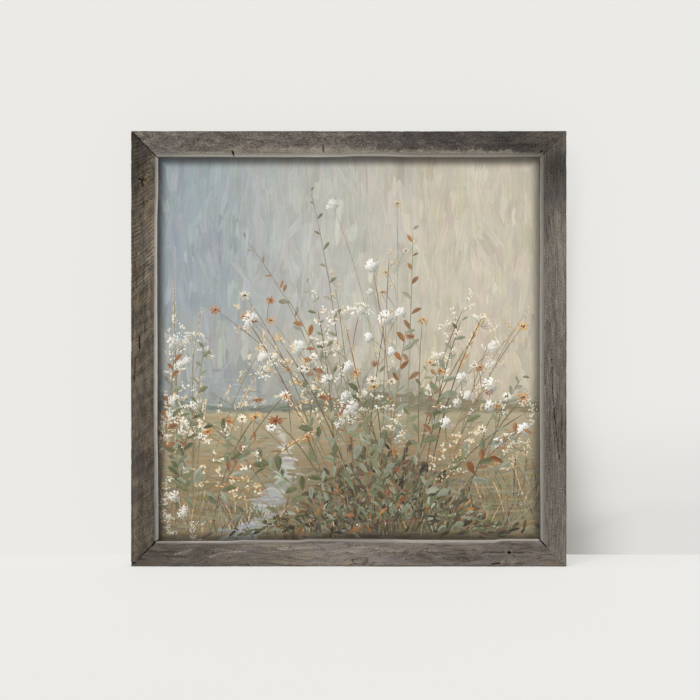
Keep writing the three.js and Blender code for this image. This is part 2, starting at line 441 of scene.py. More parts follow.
# %% The bottom board
add_board(
    "bottom",
    seed=51,
    bevel=1.9,
    lip=[(56, 0.8), (70, 1.4), (150, 1.45), (185, 1.6), (215, 1.0)],
    grain=0.10,
    edge=[(32, 0.0), (60, 0.1), (68, -0.85), (105, -0.95), (144, -0.85), (158, -0.4),
          (190, -0.35), (240, -0.13), (250, -1.2), (284, -1.07), (301, -0.75),
          (314, -1.75), (346, -1.75), (374, -2.0)],
    light=[(50, 1.08), (75, 1.0), (100, 1.0), (144, 1.08), (165, 0.93), (211, 0.87),
           (236, 0.89), (256, 0.97), (301, 0.97), (324, 1.05), (346, 1.04), (372, 0.88)],
    shade=[(0, 0.88), (55, 0.88), (93, 0.86), (130, 0.84), (167, 1.12), (205, 1.13),
           (242, 1.14), (280, 0.84), (317, 0.78), (355, 0.68), (387, 0.54), (406, 0.54)],
    tilt=[(230, 0.0), (260, 0.15), (406, 0.2)],
    patches=[(48, 2.0, 16, 3, 0.3), (42, 8.0, 7, 3, -0.28), (192, 20.0, 16, 4, 0.27),
             (272, 18.5, 38, 4, 0.16), (344, 13.0, 6, 5, -0.32), (20, 15.5, 6, 4, -0.3),
             (104, 10.0, 14, 8, -0.2), (282, 7.0, 9, 4, -0.24), (50, 19.0, 18, 3, -0.18)],
    stains=[(4, 4.0, 4.5), (14, 2.0, 4.0), (203, 3.0, 4.5), (396, 2.0, 4.0)],
    scuffs=[([(333, 8.5), (325, 11.5), (313, 13.2), (300, 13.8)], 0.8),
            ([(366, 11.0), (358, 13.0), (351, 14.6)], 0.7),
            ([(57, 11.2), (56.6, 14.2)], 0.6), ([(178, 15.5), (166, 17.5)], 1.0)],
    cracks=[
        ([(40, 12.4), (53, 12.4), (66, 12.9), (78, 12.6)], 0.35, 0.45),
        ([(62, 2.8), (69.5, 1.7)], 0.6, 1.0),
        ([(402, 2.9), (404, 2.9)], 0.6, 1.6),
    ],
    knots=[(53, 12.4, 2.8), (66, 2.2, 2.0), (150, 9.0, 1.6)],
    holes=[(53.5, 12.5, 1.4)],
    opens=[BOTTOM_RIGHT_GAP, BOTTOM_LEFT_GAP])

# %% [markdown]
# The grid has a row for each place round the section and a column for each place along
# the rail. Rows are close together where the eye looks, on the face and the outer side,
# and far apart in the rabbet, which the panel hides.

# %% The section of a rail
BEVEL_DEPTH = 0.55  # how deep the slope at the opening goes, as a share of its width
COLUMNS = 620
END_COLUMNS = 8  # extra columns close to each mitre
END_REACH = 2.4


def section_rows(bevel):
    """Rows round the section: place x, y, outward normal, girth and how rough it is."""
    sight_y = -DEPTH + LIP
    wall = FACE - RABBET
    # Each corner of the section, with the row spacing and the roughness that follow it.
    corners = [
        ((0, 0), 0.9, 0.8), ((0, -DEPTH + ARRIS), 0.4, 1.0), ((ARRIS, -DEPTH), 0.6, 1.0),
        ((FACE - bevel, -DEPTH), 0.5, 0.35), ((FACE, -DEPTH + BEVEL_DEPTH * bevel), 0.9, 0.3),
        ((FACE, sight_y), 3.0, 0.0), ((wall, sight_y), 3.0, 0.0), ((wall, 0), 1.2, 0.35),
    ]
    rows = []
    girth = -DEPTH  # so that it passes zero at the outer arris
    for n, ((x, y), spacing, rough) in enumerate(corners):
        end_x, end_y = corners[(n + 1) % len(corners)][0]
        length = math.hypot(end_x - x, end_y - y)
        count = max(1, round(length / spacing))
        normal = ((end_y - y) / length, -(end_x - x) / length)
        for k in range(count):
            share = k / count
            place = (x + share * (end_x - x), y + share * (end_y - y))
            rows.append((*place, *normal, girth + share * length, rough))
        girth += length
    return np.array(rows)


def column_shares():
    """Even columns, with a few more close to both ends, where the mitres open."""
    near = np.linspace(0, END_REACH, END_COLUMNS + 1)[1:] / OUTER
    even = np.linspace(0, 1, COLUMNS - 2 * END_COLUMNS)
    return np.sort(np.concatenate([even, near, 1 - near]))


for side, board in BOARDS.items():
    print(side, "rail:", len(section_rows(board["bevel"])), "rows of", COLUMNS, "vertices")

# %% [markdown]
# Knots push the grain aside. So the material's grain gets coordinates of its own, bent
# round each knot, and its streaks flow past the knot as they do in real wood. Old saws
# cut with a stroke, so their scratches come at an even pitch and on the slant.

# %% Knots and saw marks
SAW_PITCH = 4.0
SAW_SLANT = [(0, 0.62), (120, 0.75), (230, 1.1), (300, 0.75), (OUTER, 0.6)]


def bent_grain(board, along, across):
    """Where the grain runs, pushed aside by knots, and how deep in a knot a vertex is."""
    bent = across.copy()
    knot = np.zeros(along.shape)
    for place, side, size in board["knots"]:
        da, dc = along - place, across - side
        near = np.exp(-(((da / (2.4 * size)) ** 2) + (dc / (1.5 * size)) ** 2))
        bent += near * size * 1.3 * np.sign(dc) * (1 - np.exp(-np.abs(dc) / (0.5 * size)))
        core = np.exp(-(((da / (0.75 * size)) ** 2) + (dc / (0.6 * size)) ** 2))
        knot = np.maximum(knot, core)
    return bent, knot


def saw_marks(board, along, across):
    """Scratches that slant up to the right, most steeply in the middle of the board."""
    seed = board["seed"]
    wander = (0.45 * hills(along / 26, across / 9, seed + 4)
              + 0.2 * hills(along / 7, across / 12, seed))
    cut_number = (along - listed(SAW_SLANT, along) * across) / SAW_PITCH + wander
    groove = np.exp(-(((cut_number % 1 - 0.5) / 0.17) ** 2))
    depth_of_cut = 0.62 + 0.5 * hills(np.floor(cut_number) * 0.61, across / 8, seed + 10)
    patchy = soft_step(rough_hills(along / 30, across / 12, seed + 5, 2), -0.75, 0.25)
    saw = (0.6 - 1.75 * groove) * depth_of_cut * (0.3 + 0.7 * patchy)
    return saw * listed(board["saw_shown"], along)


trial_along, trial_across = np.meshgrid(np.arange(0, OUTER, 2.0), np.arange(0, FACE, 2.0))
trial = saw_marks(BOARDS["left"], trial_along, trial_across)
print(f"saw marks from {trial.min():.2f} to {trial.max():.2f}")

# %% [markdown]
# A crack is a polyline, and most of them follow the grain. The distance of each vertex
# from it gives both its depth and a dirt value, which the material darkens. Scuffs are
# found in the same way, but they only change the colour. The relief is the sum of it all.

# %% Relief of a board
DIRTY_DEPTH = 0.5  # a crack this deep is full of dirt, mm


def distance_to(line, along, across):
    """Distance of every vertex from a polyline."""
    nearest = np.full(along.shape, 1e9)
    for (a0, c0), (a1, c1) in zip(line, line[1:]):
        da, dc = a1 - a0, c1 - c0
        share = np.clip(((along - a0) * da + (across - c0) * dc) / (da * da + dc * dc), 0, 1)
        gap = np.hypot(along - a0 - share * da, across - c0 - share * dc)
        nearest = np.minimum(nearest, gap)
    return nearest


def ragged_line(line, width, along, across, ragged, grain, seed):
    """One on the line, fading to zero beside it over a width that wanders."""
    reach = width * (1 + ragged * hills(along / grain, across / grain, seed))
    return np.exp(-((distance_to(line, along, across) / reach) ** 2))


def board_relief(board, along, across):
    """Height of each vertex over the plain section in mm, its grain, and its marks."""
    seed = board["seed"]
    bent, knot = bent_grain(board, along, across)
    bend = 2.5 * hills(along / 70, across / 16, seed + 1)
    fibres = rough_hills(along / 26, (bent + bend) / 1.6, seed + 2, 3)
    height = board["grain"] * (0.5 - np.abs(fibres) ** 0.7) * 2
    height += 0.22 * rough_hills(along / 34, across / 9, seed + 3, 3)
    saw = saw_marks(board, along, across)
    height += board["saw"] * saw - 0.25 * knot

    dirt = np.zeros(along.shape)
    for line, width, depth in board["cracks"]:
        cut = ragged_line(line, width, along, across, 0.5, 1.6, seed + 6)
        height -= depth * cut
        dirt = np.maximum(dirt, cut * min(1.0, depth / DIRTY_DEPTH))
    for place, side, radius in board["holes"]:
        cut = soft_step(-np.hypot(along - place, across - side), -1.3 * radius, -0.7 * radius)
        height -= 1.5 * radius * cut
        dirt = np.maximum(dirt, cut)
    scuff = np.zeros(along.shape)
    for line, width in board["scuffs"]:
        rub = ragged_line(line, width, along, across, 0.7, 1.3, seed + 12)
        scuff = np.maximum(scuff, rub)

    # Knocks along the outer arris.
    knocks = soft_step(rough_hills(along / 7, across / 50, seed + 7, 3), 0.15, 0.8)
    height -= 0.7 * knocks * np.exp(-((across / 1.3) ** 2))
    return height, bent + bend, {"dirt": dirt, "knot": knot, "scuff": scuff, "saw": saw}


trial, _, _ = board_relief(BOARDS["left"], trial_along, trial_across)
print(f"left board's relief from {trial.min():.2f} to {trial.max():.2f} mm")

# %% [markdown]
# Boards lose their sharp edge where hands and cloths have rubbed them, so the slope at
# the opening wanders. The mitres open a little where the wood has shrunk: a dark line at
# one corner, a ragged gap at another. Each rail's end is pulled back by the amount that
# its board lists, near the face only, so the joint stays closed inside.

# %% Wear at the opening and at the mitres
CLOSED_MITRE = 0.01  # what always parts two rails, mm
MITRE_LINE = 0.05  # a closed mitre's line on the face
LIP_TOLERANCE = 0.1


def opening_shift(board, x, y, along):
    """How far wear has moved each vertex of the lip towards the opening, in mm."""
    bevel = board["bevel"]
    edge = listed(board["edge"], along) * soft_step(x, FACE - 9, FACE - 1)
    wider = listed(board["lip"], along) - 1
    pushed = np.interp(FACE - x, [0, bevel, bevel + 6], [0, bevel, 0])
    return (edge - pushed * wider) * (y < -DEPTH + LIP + LIP_TOLERANCE)


def between_mitres(board, place_x, y, share):
    """Where each vertex lies along the rail, and how dirty the mitre makes it."""
    front = np.exp((-DEPTH - y) / 2.5)
    ragged = 1 + 0.6 * hills(place_x / 1.7, 0.0, board["seed"] + 9)
    gaps = [listed(pairs, place_x) for pairs in board["opens"]]
    pulled = [CLOSED_MITRE + (MITRE_LINE + np.maximum(gap, 0) * ragged) * front for gap in gaps]
    low = place_x + pulled[0]
    high = OUTER - place_x - pulled[1]
    place_z = low + share * (high - low)
    seam = sum(np.exp(-((off / 0.45) ** 2)) * soft_step(gap, -0.2, 0.2)
               for off, gap in zip((place_z - low, high - place_z), gaps))
    return place_z, seam * np.maximum(front, 0.5)


for side, board in BOARDS.items():
    widest = [max(width for _, width in pairs) for pairs in board["opens"]]
    print(side, "rail's mitres open up to", widest, "mm")

# %% [markdown]
# The face isn't one shade from end to end. Rain, sun and neighbouring boards have made
# some stretches dark and others pale, and water has left stains. These are slow changes
# over a board, so a value in each vertex is enough for them, and the shader adds what is
# finer.

# %% Light and dark on the face
STAIN_SEED = 7


def face_shade(board, along, across):
    """How light the face is: along the board, across it, and in patches."""
    seed = board["seed"]
    shade = listed(board["shade"], along + 6 * hills(along / 9, across / 5, seed + 8))
    shade = shade * (1 + listed(board["tilt"], along) * (np.clip(across / FACE, 0, 1) - 0.5))
    uneven = 1 + 0.6 * rough_hills(along / 8, across / 4, seed + 13, 2)
    for place, side, long, wide, change in board["patches"]:
        off = ((along - place) / long) ** 2 + ((across - side) / wide) ** 2
        shade = shade * (1 + change * np.exp(-off * uneven))
    return shade


def face_stain(board, along, across):
    """How stained the face is, in long spots with an uneven edge."""
    stain = np.zeros(along.shape)
    wander = 2 * hills(along / 3, across / 3, STAIN_SEED)
    for place, side, size in board["stains"]:
        off = np.hypot((along - place) / 1.5, across - side) + wander
        stain = np.maximum(stain, soft_step(-off, -size, 0))
    return stain


trial = face_shade(BOARDS["left"], trial_along, trial_across)
print(f"left board's shade from {trial.min():.2f} to {trial.max():.2f}")

# %% [markdown]
# A mesh from arrays is quick, and every vertex is known by its row and column. So its
# values, its texture map and its faces can all be worked out without picking anything
# by hand.

# %% Meshes from arrays
def vertex_values(mesh, name, values, kind="FLOAT"):
    """Stores one number, or one vector or colour, for each vertex."""
    made = mesh.attributes.new(name, kind, "POINT")
    field = {"FLOAT": "value", "FLOAT_VECTOR": "vector", "FLOAT_COLOR": "color"}[kind]
    made.data.foreach_set(field, np.ascontiguousarray(values, np.float32).ravel())


def mesh_object(name, points, quads, polygons=()):
    """An object from points in metres, quads as an array and any larger polygons."""
    mesh = bpy.data.meshes.new(name)
    faces = quads.tolist() + [list(polygon) for polygon in polygons]
    mesh.from_pydata(points.tolist(), [], faces)
    made = bpy.data.objects.new(name, mesh)
    bpy.context.collection.objects.link(made)
    return made


def grid_quads(rows_count, columns_count, wrap):
    """Quads of a grid whose vertices run along each row in turn."""
    row = np.arange(rows_count if wrap else rows_count - 1)[:, None]
    column = np.arange(columns_count - 1)[None, :]
    below = (row + 1) % rows_count
    corners = [row * columns_count + column, below * columns_count + column,
               below * columns_count + column + 1, row * columns_count + column + 1]
    return np.stack([np.broadcast_to(c, (len(row), columns_count - 1)) for c in corners],
                    axis=-1).reshape(-1, 4)


def corner_vertices(mesh):
    """The vertex that each corner of each face uses, in the order of the texture map."""
    corner = np.empty(len(mesh.loops), np.int32)
    mesh.loops.foreach_get("vertex_index", corner)
    return corner


def store_map(mesh, places):
    """Stores a place on the texture for each corner of each face."""
    layer = mesh.uv_layers.new(name="OFBake")
    layer.data.foreach_set("uv", places.astype(np.float32).ravel())


print("a grid of 3 by 3 vertices has the quads", grid_quads(3, 3, False).tolist())

# %% [markdown]
# Now each rail is built standing at the left, and turned to its own side of the frame.
# Its texture map unrolls it: u runs along the rail and v round it, with a strip above
# for the two mitre faces.

# %% Build the rails
SMOOTH_ANGLE = math.radians(38)  # sharper edges than this stay sharp


def rail_map(mesh, count):
    corner = corner_vertices(mesh)
    row, column = corner // COLUMNS, corner % COLUMNS
    body = count * (COLUMNS - 1) * 4
    u = 0.01 + 0.98 * column / (COLUMNS - 1)
    lower = np.isin(np.arange(len(corner)) % 4, (1, 2))
    wrapped = np.where((row == 0) & lower, count, row)
    v = 0.01 + 0.92 * wrapped / count
    places = np.empty((len(mesh.vertices), 3))
    mesh.vertices.foreach_get("co", places.ravel())
    cap_places = places[corner[body:]] - np.array(CENTRE)
    reach = np.abs(cap_places[:, [0, 2]]).min(1) / MM
    deep = -cap_places[:, 1] / MM
    u[body:] = 0.02 + 0.4 * (OUTER / 2 - reach) / FACE + 0.5 * (column[body:] > 0)
    v[body:] = 0.95 + 0.04 * np.clip(deep / DEPTH, 0, 1)
    store_map(mesh, np.stack([u, v], -1))


def turned_to_side(place_x, place_y, place_z, quarter):
    """A left rail's places in mm, turned by quarters and put in the frame, in metres."""
    turn = quarter * math.pi / 2
    local_x, local_z = place_x - OUTER / 2, place_z - OUTER / 2
    world_x = local_x * math.cos(turn) + local_z * math.sin(turn)
    world_z = -local_x * math.sin(turn) + local_z * math.cos(turn)
    return np.stack([world_x, place_y, world_z], axis=-1).reshape(-1, 3) * MM + CENTRE


def wood_values(board, x, y, along, across, marks, seam):
    """What the material reads in each vertex."""
    slope = (x - FACE + board["bevel"]) / board["bevel"] + 0.12
    on_slope = y < -DEPTH + BEVEL_DEPTH * board["bevel"] + 0.05
    in_rabbet = (x > 0) & (y > -DEPTH + LIP - LIP_TOLERANCE) & (y < -0.01)
    return {
        "dirt": np.maximum(marks["dirt"], 0.8 * seam),
        "stain": face_stain(board, along, across),
        "knot": marks["knot"],
        "scuff": marks["scuff"],
        "rub": across - listed(board["worn_from"], along),
        "shade": face_shade(board, along, across),
        "light": listed(board["light"], along) ** 2.2,
        "saw": marks["saw"] * (board["saw"] > 0.1),
        "bevel": np.clip(slope, 0, 1) * on_slope,
        "raw": in_rabbet * 1.0,
        "back": (y > -0.01) * 1.0,
    }


def build_rail(side, quarter):
    board = BOARDS[side]
    rows = section_rows(board["bevel"])
    x, y, normal_x, normal_y, girth, rough = (rows[:, n][:, None] for n in range(6))
    share = column_shares()[None, :]
    along = x + share * (OUTER - 2 * x)
    across = np.broadcast_to(girth, along.shape)
    rise, bent, marks = board_relief(board, along, across)
    place_x = x + normal_x * rise * rough + opening_shift(board, x, y, along)
    place_y = y + normal_y * rise * rough
    place_z, seam = between_mitres(board, place_x, y, share)

    count = len(rows)
    caps = [np.arange(count)[::-1] * COLUMNS, np.arange(count) * COLUMNS + COLUMNS - 1]
    rail = mesh_object("wood_rail_" + side, turned_to_side(place_x, place_y, place_z, quarter),
                       grid_quads(count, COLUMNS, True), caps)
    mesh = rail.data
    for name, value in wood_values(board, x, y, along, across, marks, seam).items():
        vertex_values(mesh, name, np.broadcast_to(value, along.shape))
    for name, way_across in (("grain", bent), ("place", across)):
        places = np.stack([along, way_across, np.full(along.shape, board["seed"])], axis=-1)
        vertex_values(mesh, name, places, "FLOAT_VECTOR")

    mesh.shade_smooth()
    mesh.set_sharp_from_angle(angle=SMOOTH_ANGLE)
    rail_map(mesh, count)
    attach(rail, "root")
    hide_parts("rail_" + side)
    return rail


SIDES = ("left", "top", "right", "bottom")
rails = {side: build_rail(side, quarter) for quarter, side in enumerate(SIDES)}
print("rail faces:", {side: len(rail.data.polygons) for side, rail in rails.items()})

# %% [markdown]
# ## Weathered wood
#
# Sun and rain turn a board silver grey on the outside and leave brown where it is
# freshly worn. One recipe serves all four rails, and each board has its own look:
#
# - Its five tones run from the dark of a groove to the light of a raised fibre. Warm,
#   cool, lip and scuff are the colours of patches, of the worn slope and of scuffs.
# - fibre says how often the grain changes along and across the board. The weights say
#   how much fibre, mottle, grit and streak count.
# - warmth, saw, worn, rings, flecks and rim are the strengths of single layers, which
#   the cells below make.

# %% The looks of the four boards
WOODS = {
    "left": {
        "tones": [(40, 34, 29), (68, 60, 52), (97, 88, 76), (124, 113, 97), (152, 142, 126)],
        "warm": (124, 104, 74), "cool": (92, 85, 86), "lip": (164, 160, 155),
        "fibre": (0.09, 0.3), "weights": (0.7, 0.8, 1.25, 0.5), "warmth": 0.5, "saw": 0.34,
        "worn": 0.0, "rings": 0.0, "flecks": 0.2, "rim": 0.6,
        "scuff": (146, 126, 92),
    },
    "top": {
        "tones": [(44, 39, 36), (76, 70, 66), (104, 97, 91), (134, 127, 117), (168, 161, 150)],
        "warm": (122, 113, 97), "cool": (98, 89, 91), "lip": (150, 146, 139),
        "fibre": (0.3, 0.7), "weights": (1.1, 1.0, 1.7, 0.3), "warmth": 0.35, "saw": 0.0,
        "worn": 0.9, "rings": 0.0, "flecks": 0.4, "rim": 0.6,
        "scuff": (160, 152, 138),
    },
    "right": {
        "tones": [(46, 41, 37), (80, 74, 68), (106, 100, 93), (131, 125, 117), (160, 154, 146)],
        "warm": (120, 108, 92), "cool": (100, 95, 95), "lip": (146, 141, 134),
        "fibre": (0.04, 1.1), "weights": (1.55, 0.5, 1.6, 0.3), "warmth": 0.3, "saw": 0.0,
        "worn": 0.0, "rings": 0.0, "flecks": 0.3, "rim": 0.25,
        "scuff": (172, 164, 152),
    },
    "bottom": {
        "tones": [(48, 41, 35), (82, 74, 67), (113, 105, 97), (138, 130, 121), (166, 159, 150)],
        "warm": (134, 120, 98), "cool": (113, 104, 106), "lip": (150, 145, 138),
        "fibre": (0.03, 0.4), "weights": (0.65, 0.55, 1.0, 0.45), "warmth": 0.45, "saw": 0.0,
        "worn": 0.0, "rings": 0.26, "flecks": 0.25, "rim": 0.3,
        "scuff": (176, 170, 160),
    },
}

for side, look in WOODS.items():
    print(side, "board's middle tone:", look["tones"][2])

# %% [markdown]
# Most layers read the same few noises, so a board's finish makes them once and keeps
# them. The fibres are read at the bent grain coordinates, so that they flow round the
# knots. Mottle and grit are read at the vertex's true place.

# %% The noises of a board
class BarnWood(Finish):
    """A board's finish, with the noises that its layers share."""

    def __init__(self, side):
        super().__init__("barn_wood_" + side)
        self.look = WOODS[side]
        self.grain = self.attribute("grain", "Vector")
        self.place = self.attribute("place", "Vector")
        self.along, self.across, _ = self.parts(self.place)
        self.fibre = self.noise(self.grain, (*self.look["fibre"], 1), 8.0, 0.7, 0.5)
        self.mottle = self.noise(self.place, (0.07, 0.17, 3.3), 5.0, 0.68, 0.6)
        self.grit = self.noise(self.place, (0.7, 1.0, 1), 4.0, 0.75)

    def tint(self, name, factor=1.0):
        """One of the look's own colours, lighter or darker by a factor."""
        return colour(*(factor * part for part in self.look[name]))


print("grain changes per mm:", {side: look["fibre"] for side, look in WOODS.items()})

# %% [markdown]
# One tone from dark to light gathers everything that makes the wood uneven, and a ramp
# turns it into colour. That keeps the layers in step: a scratch is dark in every colour
# of the board. Where the saw met the rings at a low angle there are wide swirls of early
# and late wood, and on the saw-marked board the scratches come and go.

# %% The tone
def swirls(paint):
    _, bent, _ = paint.parts(paint.grain)
    swirl = paint.noise(paint.place, (0.016, 0.05, 1), 3.0, 0.5, 1.2)
    ring = paint.math("FRACT", bent * 0.16 + swirl * 7)
    late = paint.between(ring, 0.55, 0.95) * paint.between(ring, 1.0, 0.95)
    return late * paint.look["rings"] * paint.between(paint.mottle, 0.35, 0.6)


def scratches(paint):
    """The scratches themselves, and the wide bands of shade that the saw left."""
    shown = paint.between(paint.mottle, 0.36, 0.62, 0.15, 1.0)
    slanted = paint.node("CombineXYZ", {}, {0: paint.along - paint.across * 0.7,
                                            1: paint.across})
    band = paint.noise(slanted, (0.11, 0.02, 1), 4.0, 0.6, 0.3)
    return paint.attribute("saw") * shown * paint.look["saw"] + (band - 0.5) * 0.8


def wood_tone(paint):
    streak = paint.noise(paint.grain, (0.012, 0.14, 1), 3.0, 0.6, 0.8)
    noises = (paint.fibre, paint.mottle, paint.grit, streak)
    tone = 0.5
    for noise, weight in zip(noises, paint.look["weights"]):
        tone = tone + (noise - 0.5) * weight
    if paint.look["rings"]:
        tone = tone - swirls(paint)
    if paint.look["saw"]:
        tone = tone + scratches(paint)
    return tone


print("boards with swirls:", [side for side, look in WOODS.items() if look["rings"]])

# %% [markdown]
# Over the ramp lie soft patches: brown where the grey skin is thin, violet grey where
# damp has stood, yellow brown stains, and light specks of broken fibres. The shade in
# the vertices then makes whole stretches lighter or darker.

# %% The weathered face
RAMP_PLACES = (0.0, 0.3, 0.5, 0.7, 1.0)


def weathered(paint, tone):
    stops = [(spot, colour(*value)) for spot, value in zip(RAMP_PLACES, paint.look["tones"])]
    base = paint.node("ValToRGB", {"stops": stops}, {0: tone})
    patch = paint.noise(paint.place, (0.03, 0.06, 1.7), 4.0, 0.6, 0.8)
    warm_spots = paint.between(patch, 0.47, 0.66) * paint.look["warmth"]
    base = paint.mix(warm_spots * paint.between(tone, 0.25, 0.6), base, paint.tint("warm"))
    cloud = paint.noise(paint.place, (0.045, 0.09, 2.3), 3.0, 0.55, 0.5)
    base = paint.mix(paint.between(cloud, 0.5, 0.68) * 0.45, base, paint.tint("cool"))
    stain = paint.attribute("stain") * paint.between(tone, 0.2, 0.65, 0.35, 1.0)
    base = paint.layer(stain * 0.6, base, 124, 104, 76)
    flecks = paint.between(paint.grit, 0.6, 0.72) * paint.look["flecks"]
    base = paint.layer(flecks, base, 176, 168, 154)
    return paint.scaled(base, paint.attribute("shade"))


print("ramp from", WOODS["left"]["tones"][0], "to", WOODS["left"]["tones"][-1])

# %% [markdown]
# Hands and weather rub the surface off again. The top board has lost its dark film in a
# ragged strip by the opening, scuffs show fresh wood, and the slope at the opening is
# worn pale. It gets lighter towards its inner edge, partly from wear and partly as a
# painted highlight on the arris.

# %% Rubbed places
def worn_strip(paint, base, tone):
    slanted = paint.node("CombineXYZ", {}, {0: paint.along + paint.across * 0.6,
                                            1: paint.across})
    fingers = paint.noise(slanted, (0.17, 0.03, 1), 4.0, 0.62, 0.4)
    edge = paint.attribute("rub") + (fingers - 0.5) * 13 + (paint.grit - 0.5) * 9
    rubbed = paint.between(edge, -2.6, 2.4) * paint.look["worn"]
    bare = paint.mix(paint.between(tone, 0.1, 0.95), colour(100, 92, 80), colour(158, 150, 135))
    return paint.mix(rubbed, base, bare)


def scuffed(paint, base):
    scuff = paint.attribute("scuff") * paint.between(paint.grit, 0.42, 0.6, 0.08, 0.62)
    return paint.mix(scuff, base, paint.tint("scuff"))


def worn_lip_and_highlight(paint, base):
    bevel = paint.attribute("bevel")
    # the slope lightens towards the opening: wear, and a painted highlight along the arris
    lip = paint.mix(paint.between(bevel, 0.2, 1.0), paint.tint("lip", 0.88),
                    paint.tint("lip", 1.08))
    lip = paint.scaled(lip, paint.attribute("light"))
    rubs = paint.noise(paint.place, (0.12, 0.5, 1), 4.0, 0.6)
    bare = paint.between(bevel, 0.0, 0.2) * paint.between(rubs, 0.25, 0.55, 0.6, 1.0)
    return paint.mix(bare, base, lip)


print("boards with a worn strip:", [side for side, look in WOODS.items() if look["worn"]])

# %% [markdown]
# The outer arris is dirty from handling. The rabbet is almost fresh wood, and the back
# is less weathered than the face. Last come the knots with a warm ring round each, and
# the dirt that fills cracks, nail holes and mitres, because it lies on top of it all.

# %% Back, knots and dirt
def sawn_back(paint, base):
    grime = paint.noise(paint.place, (0.05, 0.6, 5.1), 4.0, 0.65)
    rim = (paint.between(paint.across + grime * 2.2, 2.3, 0.9)
           * paint.between(paint.across, -1.5, -0.2))
    base = paint.layer(rim * paint.look["rim"], base, 52, 45, 40)
    sawn = paint.noise(paint.grain, (0.035, 0.8, 1), 6.0, 0.68, 0.5)
    fine = paint.between(sawn, 0.36, 0.64)
    raw_wood = paint.mix(fine, colour(120, 96, 70), colour(168, 142, 108))
    base = paint.mix(paint.attribute("raw"), base, raw_wood)
    back_wood = paint.mix(fine, colour(78, 66, 54), colour(126, 110, 92))
    return paint.mix(paint.attribute("back") * 0.85, base, back_wood)


def knots_and_dirt(paint, base):
    knot = paint.attribute("knot")
    base = paint.layer(paint.between(knot, 0.3, 0.95) * 0.8, base, 52, 42, 34)
    halo = paint.between(knot, 0.08, 0.3) * paint.between(knot, 0.6, 0.3)
    base = paint.mix(halo * 0.5, base, paint.tint("warm"))
    return paint.layer(paint.between(paint.attribute("dirt"), 0.1, 0.75) * 0.94, base, 24, 20, 17)


def barn_wood(side):
    paint = BarnWood(side)
    tone = wood_tone(paint)
    base = weathered(paint, tone)
    if paint.look["worn"]:
        base = worn_strip(paint, base, tone)
    base = worn_lip_and_highlight(paint, scuffed(paint, base))
    base = knots_and_dirt(paint, sawn_back(paint, base))
    height = paint.fibre * 0.8 + paint.grit * 0.4 + paint.mottle * 0.5
    return paint.shade(Base_Color=base, Roughness=paint.between(tone, 0.4, 1.0, 0.96, 0.82),
                       Normal=paint.bump(height, 0.7, 0.7), Specular_IOR_Level=0.25)


for side, rail in rails.items():
    finish = barn_wood(side)
    rail.data.materials.append(finish)
    print(finish.name, "has", len(finish.node_tree.nodes), "shader nodes")

# %% [markdown]
# ## The canvas
#
# The print is a sheet of canvas on a hardboard panel. Its front is a grid, so that it
# can carry the soft colours that lie under the brush strokes, one colour to a vertex.
# The scene is a misty meadow: a pale sky, hills, a stream, tall grasses and wild flowers.
# Places on it are in mm from its middle, x right and z up, and colours are screen
# colours until they are stored.

# %% Colours of the meadow
HALF = SIGHT / 2
HORIZON = -58.0
CANVAS_Y = SHEET_DEPTH - DEPTH  # the sheet's front, from the plane of the rails' backs
THICKET = 34.0  # where the thicket stands


def blend(share, a, b):
    return np.asarray(a, float) + (np.asarray(b, float) - a) * np.asarray(share)[..., None]


def ridge_far(x):
    return HORIZON + 30 + 12 * np.sin(x / 62 + 2.2) + 5 * np.sin(x / 23) - 0.05 * x


def ridge_near(x):
    return HORIZON + 10 + 7 * np.sin(x / 48 + 0.4) + 3 * hills(x / 9, x * 0, 71)


def nearness(z):
    """Zero at the horizon, one at the picture's lower edge."""
    return np.clip((HORIZON - z) / (HORIZON + HALF), 0, 1)


def stream_middle(z):
    depth = nearness(z)
    return -72 + 30 * np.sin(depth * 4.6 + 0.3) * depth**0.8 + 6 * depth


def stream_half(z):
    return 1.2 + 19 * nearness(z) ** 1.7


def meadow_colour(x, z):
    """The soft colour of the scene at each place, as 0 to 255."""
    x, z = np.broadcast_arrays(np.asarray(x, float), np.asarray(z, float))
    side = soft_step(x, -HALF * 0.95, HALF * 0.6)
    sky = blend(side, (148, 158, 164), (190, 182, 165))
    sky = blend(soft_step(-np.abs(x + 20), -120, -10) * 0.4, sky, (182, 182, 174))
    low = soft_step(z, HORIZON + 110, HORIZON + 5)
    sky = blend(low * 0.6, sky, (182, 170, 148))
    sky += 8 * rough_hills(x / 40, z / 75, 61, 3)[..., None]
    sky += 5 * hills(x / 26, z / 60, 65)[..., None] * np.array((-0.5, 0.1, 0.9))

    haze = blend(side, (148, 154, 154), (170, 162, 142))
    scene = blend(soft_step(z, ridge_far(x) + 2.5, ridge_far(x) - 2.5), sky, haze)
    woods = blend(side, (112, 120, 112), (128, 120, 94))
    woods += 8 * rough_hills(x / 12, z / 7, 67)[..., None]
    scene = blend(soft_step(z, ridge_near(x) + 1.6, ridge_near(x) - 1.6), scene, woods)

    depth = nearness(z)
    field = blend(depth**0.7, (178, 166, 138), (128, 114, 86))
    field = blend(soft_step(rough_hills(x / 55, z / 13, 73), -0.2, 0.6) * 0.6, field,
                  (146, 142, 112))
    field = blend(soft_step(hills(x / 70, z / 11, 79), 0.1, 0.8) * 0.4, field, (160, 124, 80))
    scene = blend(soft_step(z, HORIZON + 1, HORIZON - 1), scene, field)
    water = blend(depth, (204, 200, 188), (162, 170, 172))
    off = np.abs(x - stream_middle(z)) - stream_half(z) - 1.2 * hills(z / 4, x / 30, 83)
    wet = soft_step(off, 1.0, -1.0) * (z < HORIZON - 1)
    scene = blend(wet * 0.9, scene, water)
    shadow = np.exp(-(((x - THICKET) / 92) ** 2) - ((z + HALF) / 62) ** 2)
    return np.clip(blend(shadow * 0.75, scene, (74, 62, 44)), 0, 255)


print("sky left", meadow_colour(-150, 150).round(), "sky right", meadow_colour(150, 150).round())

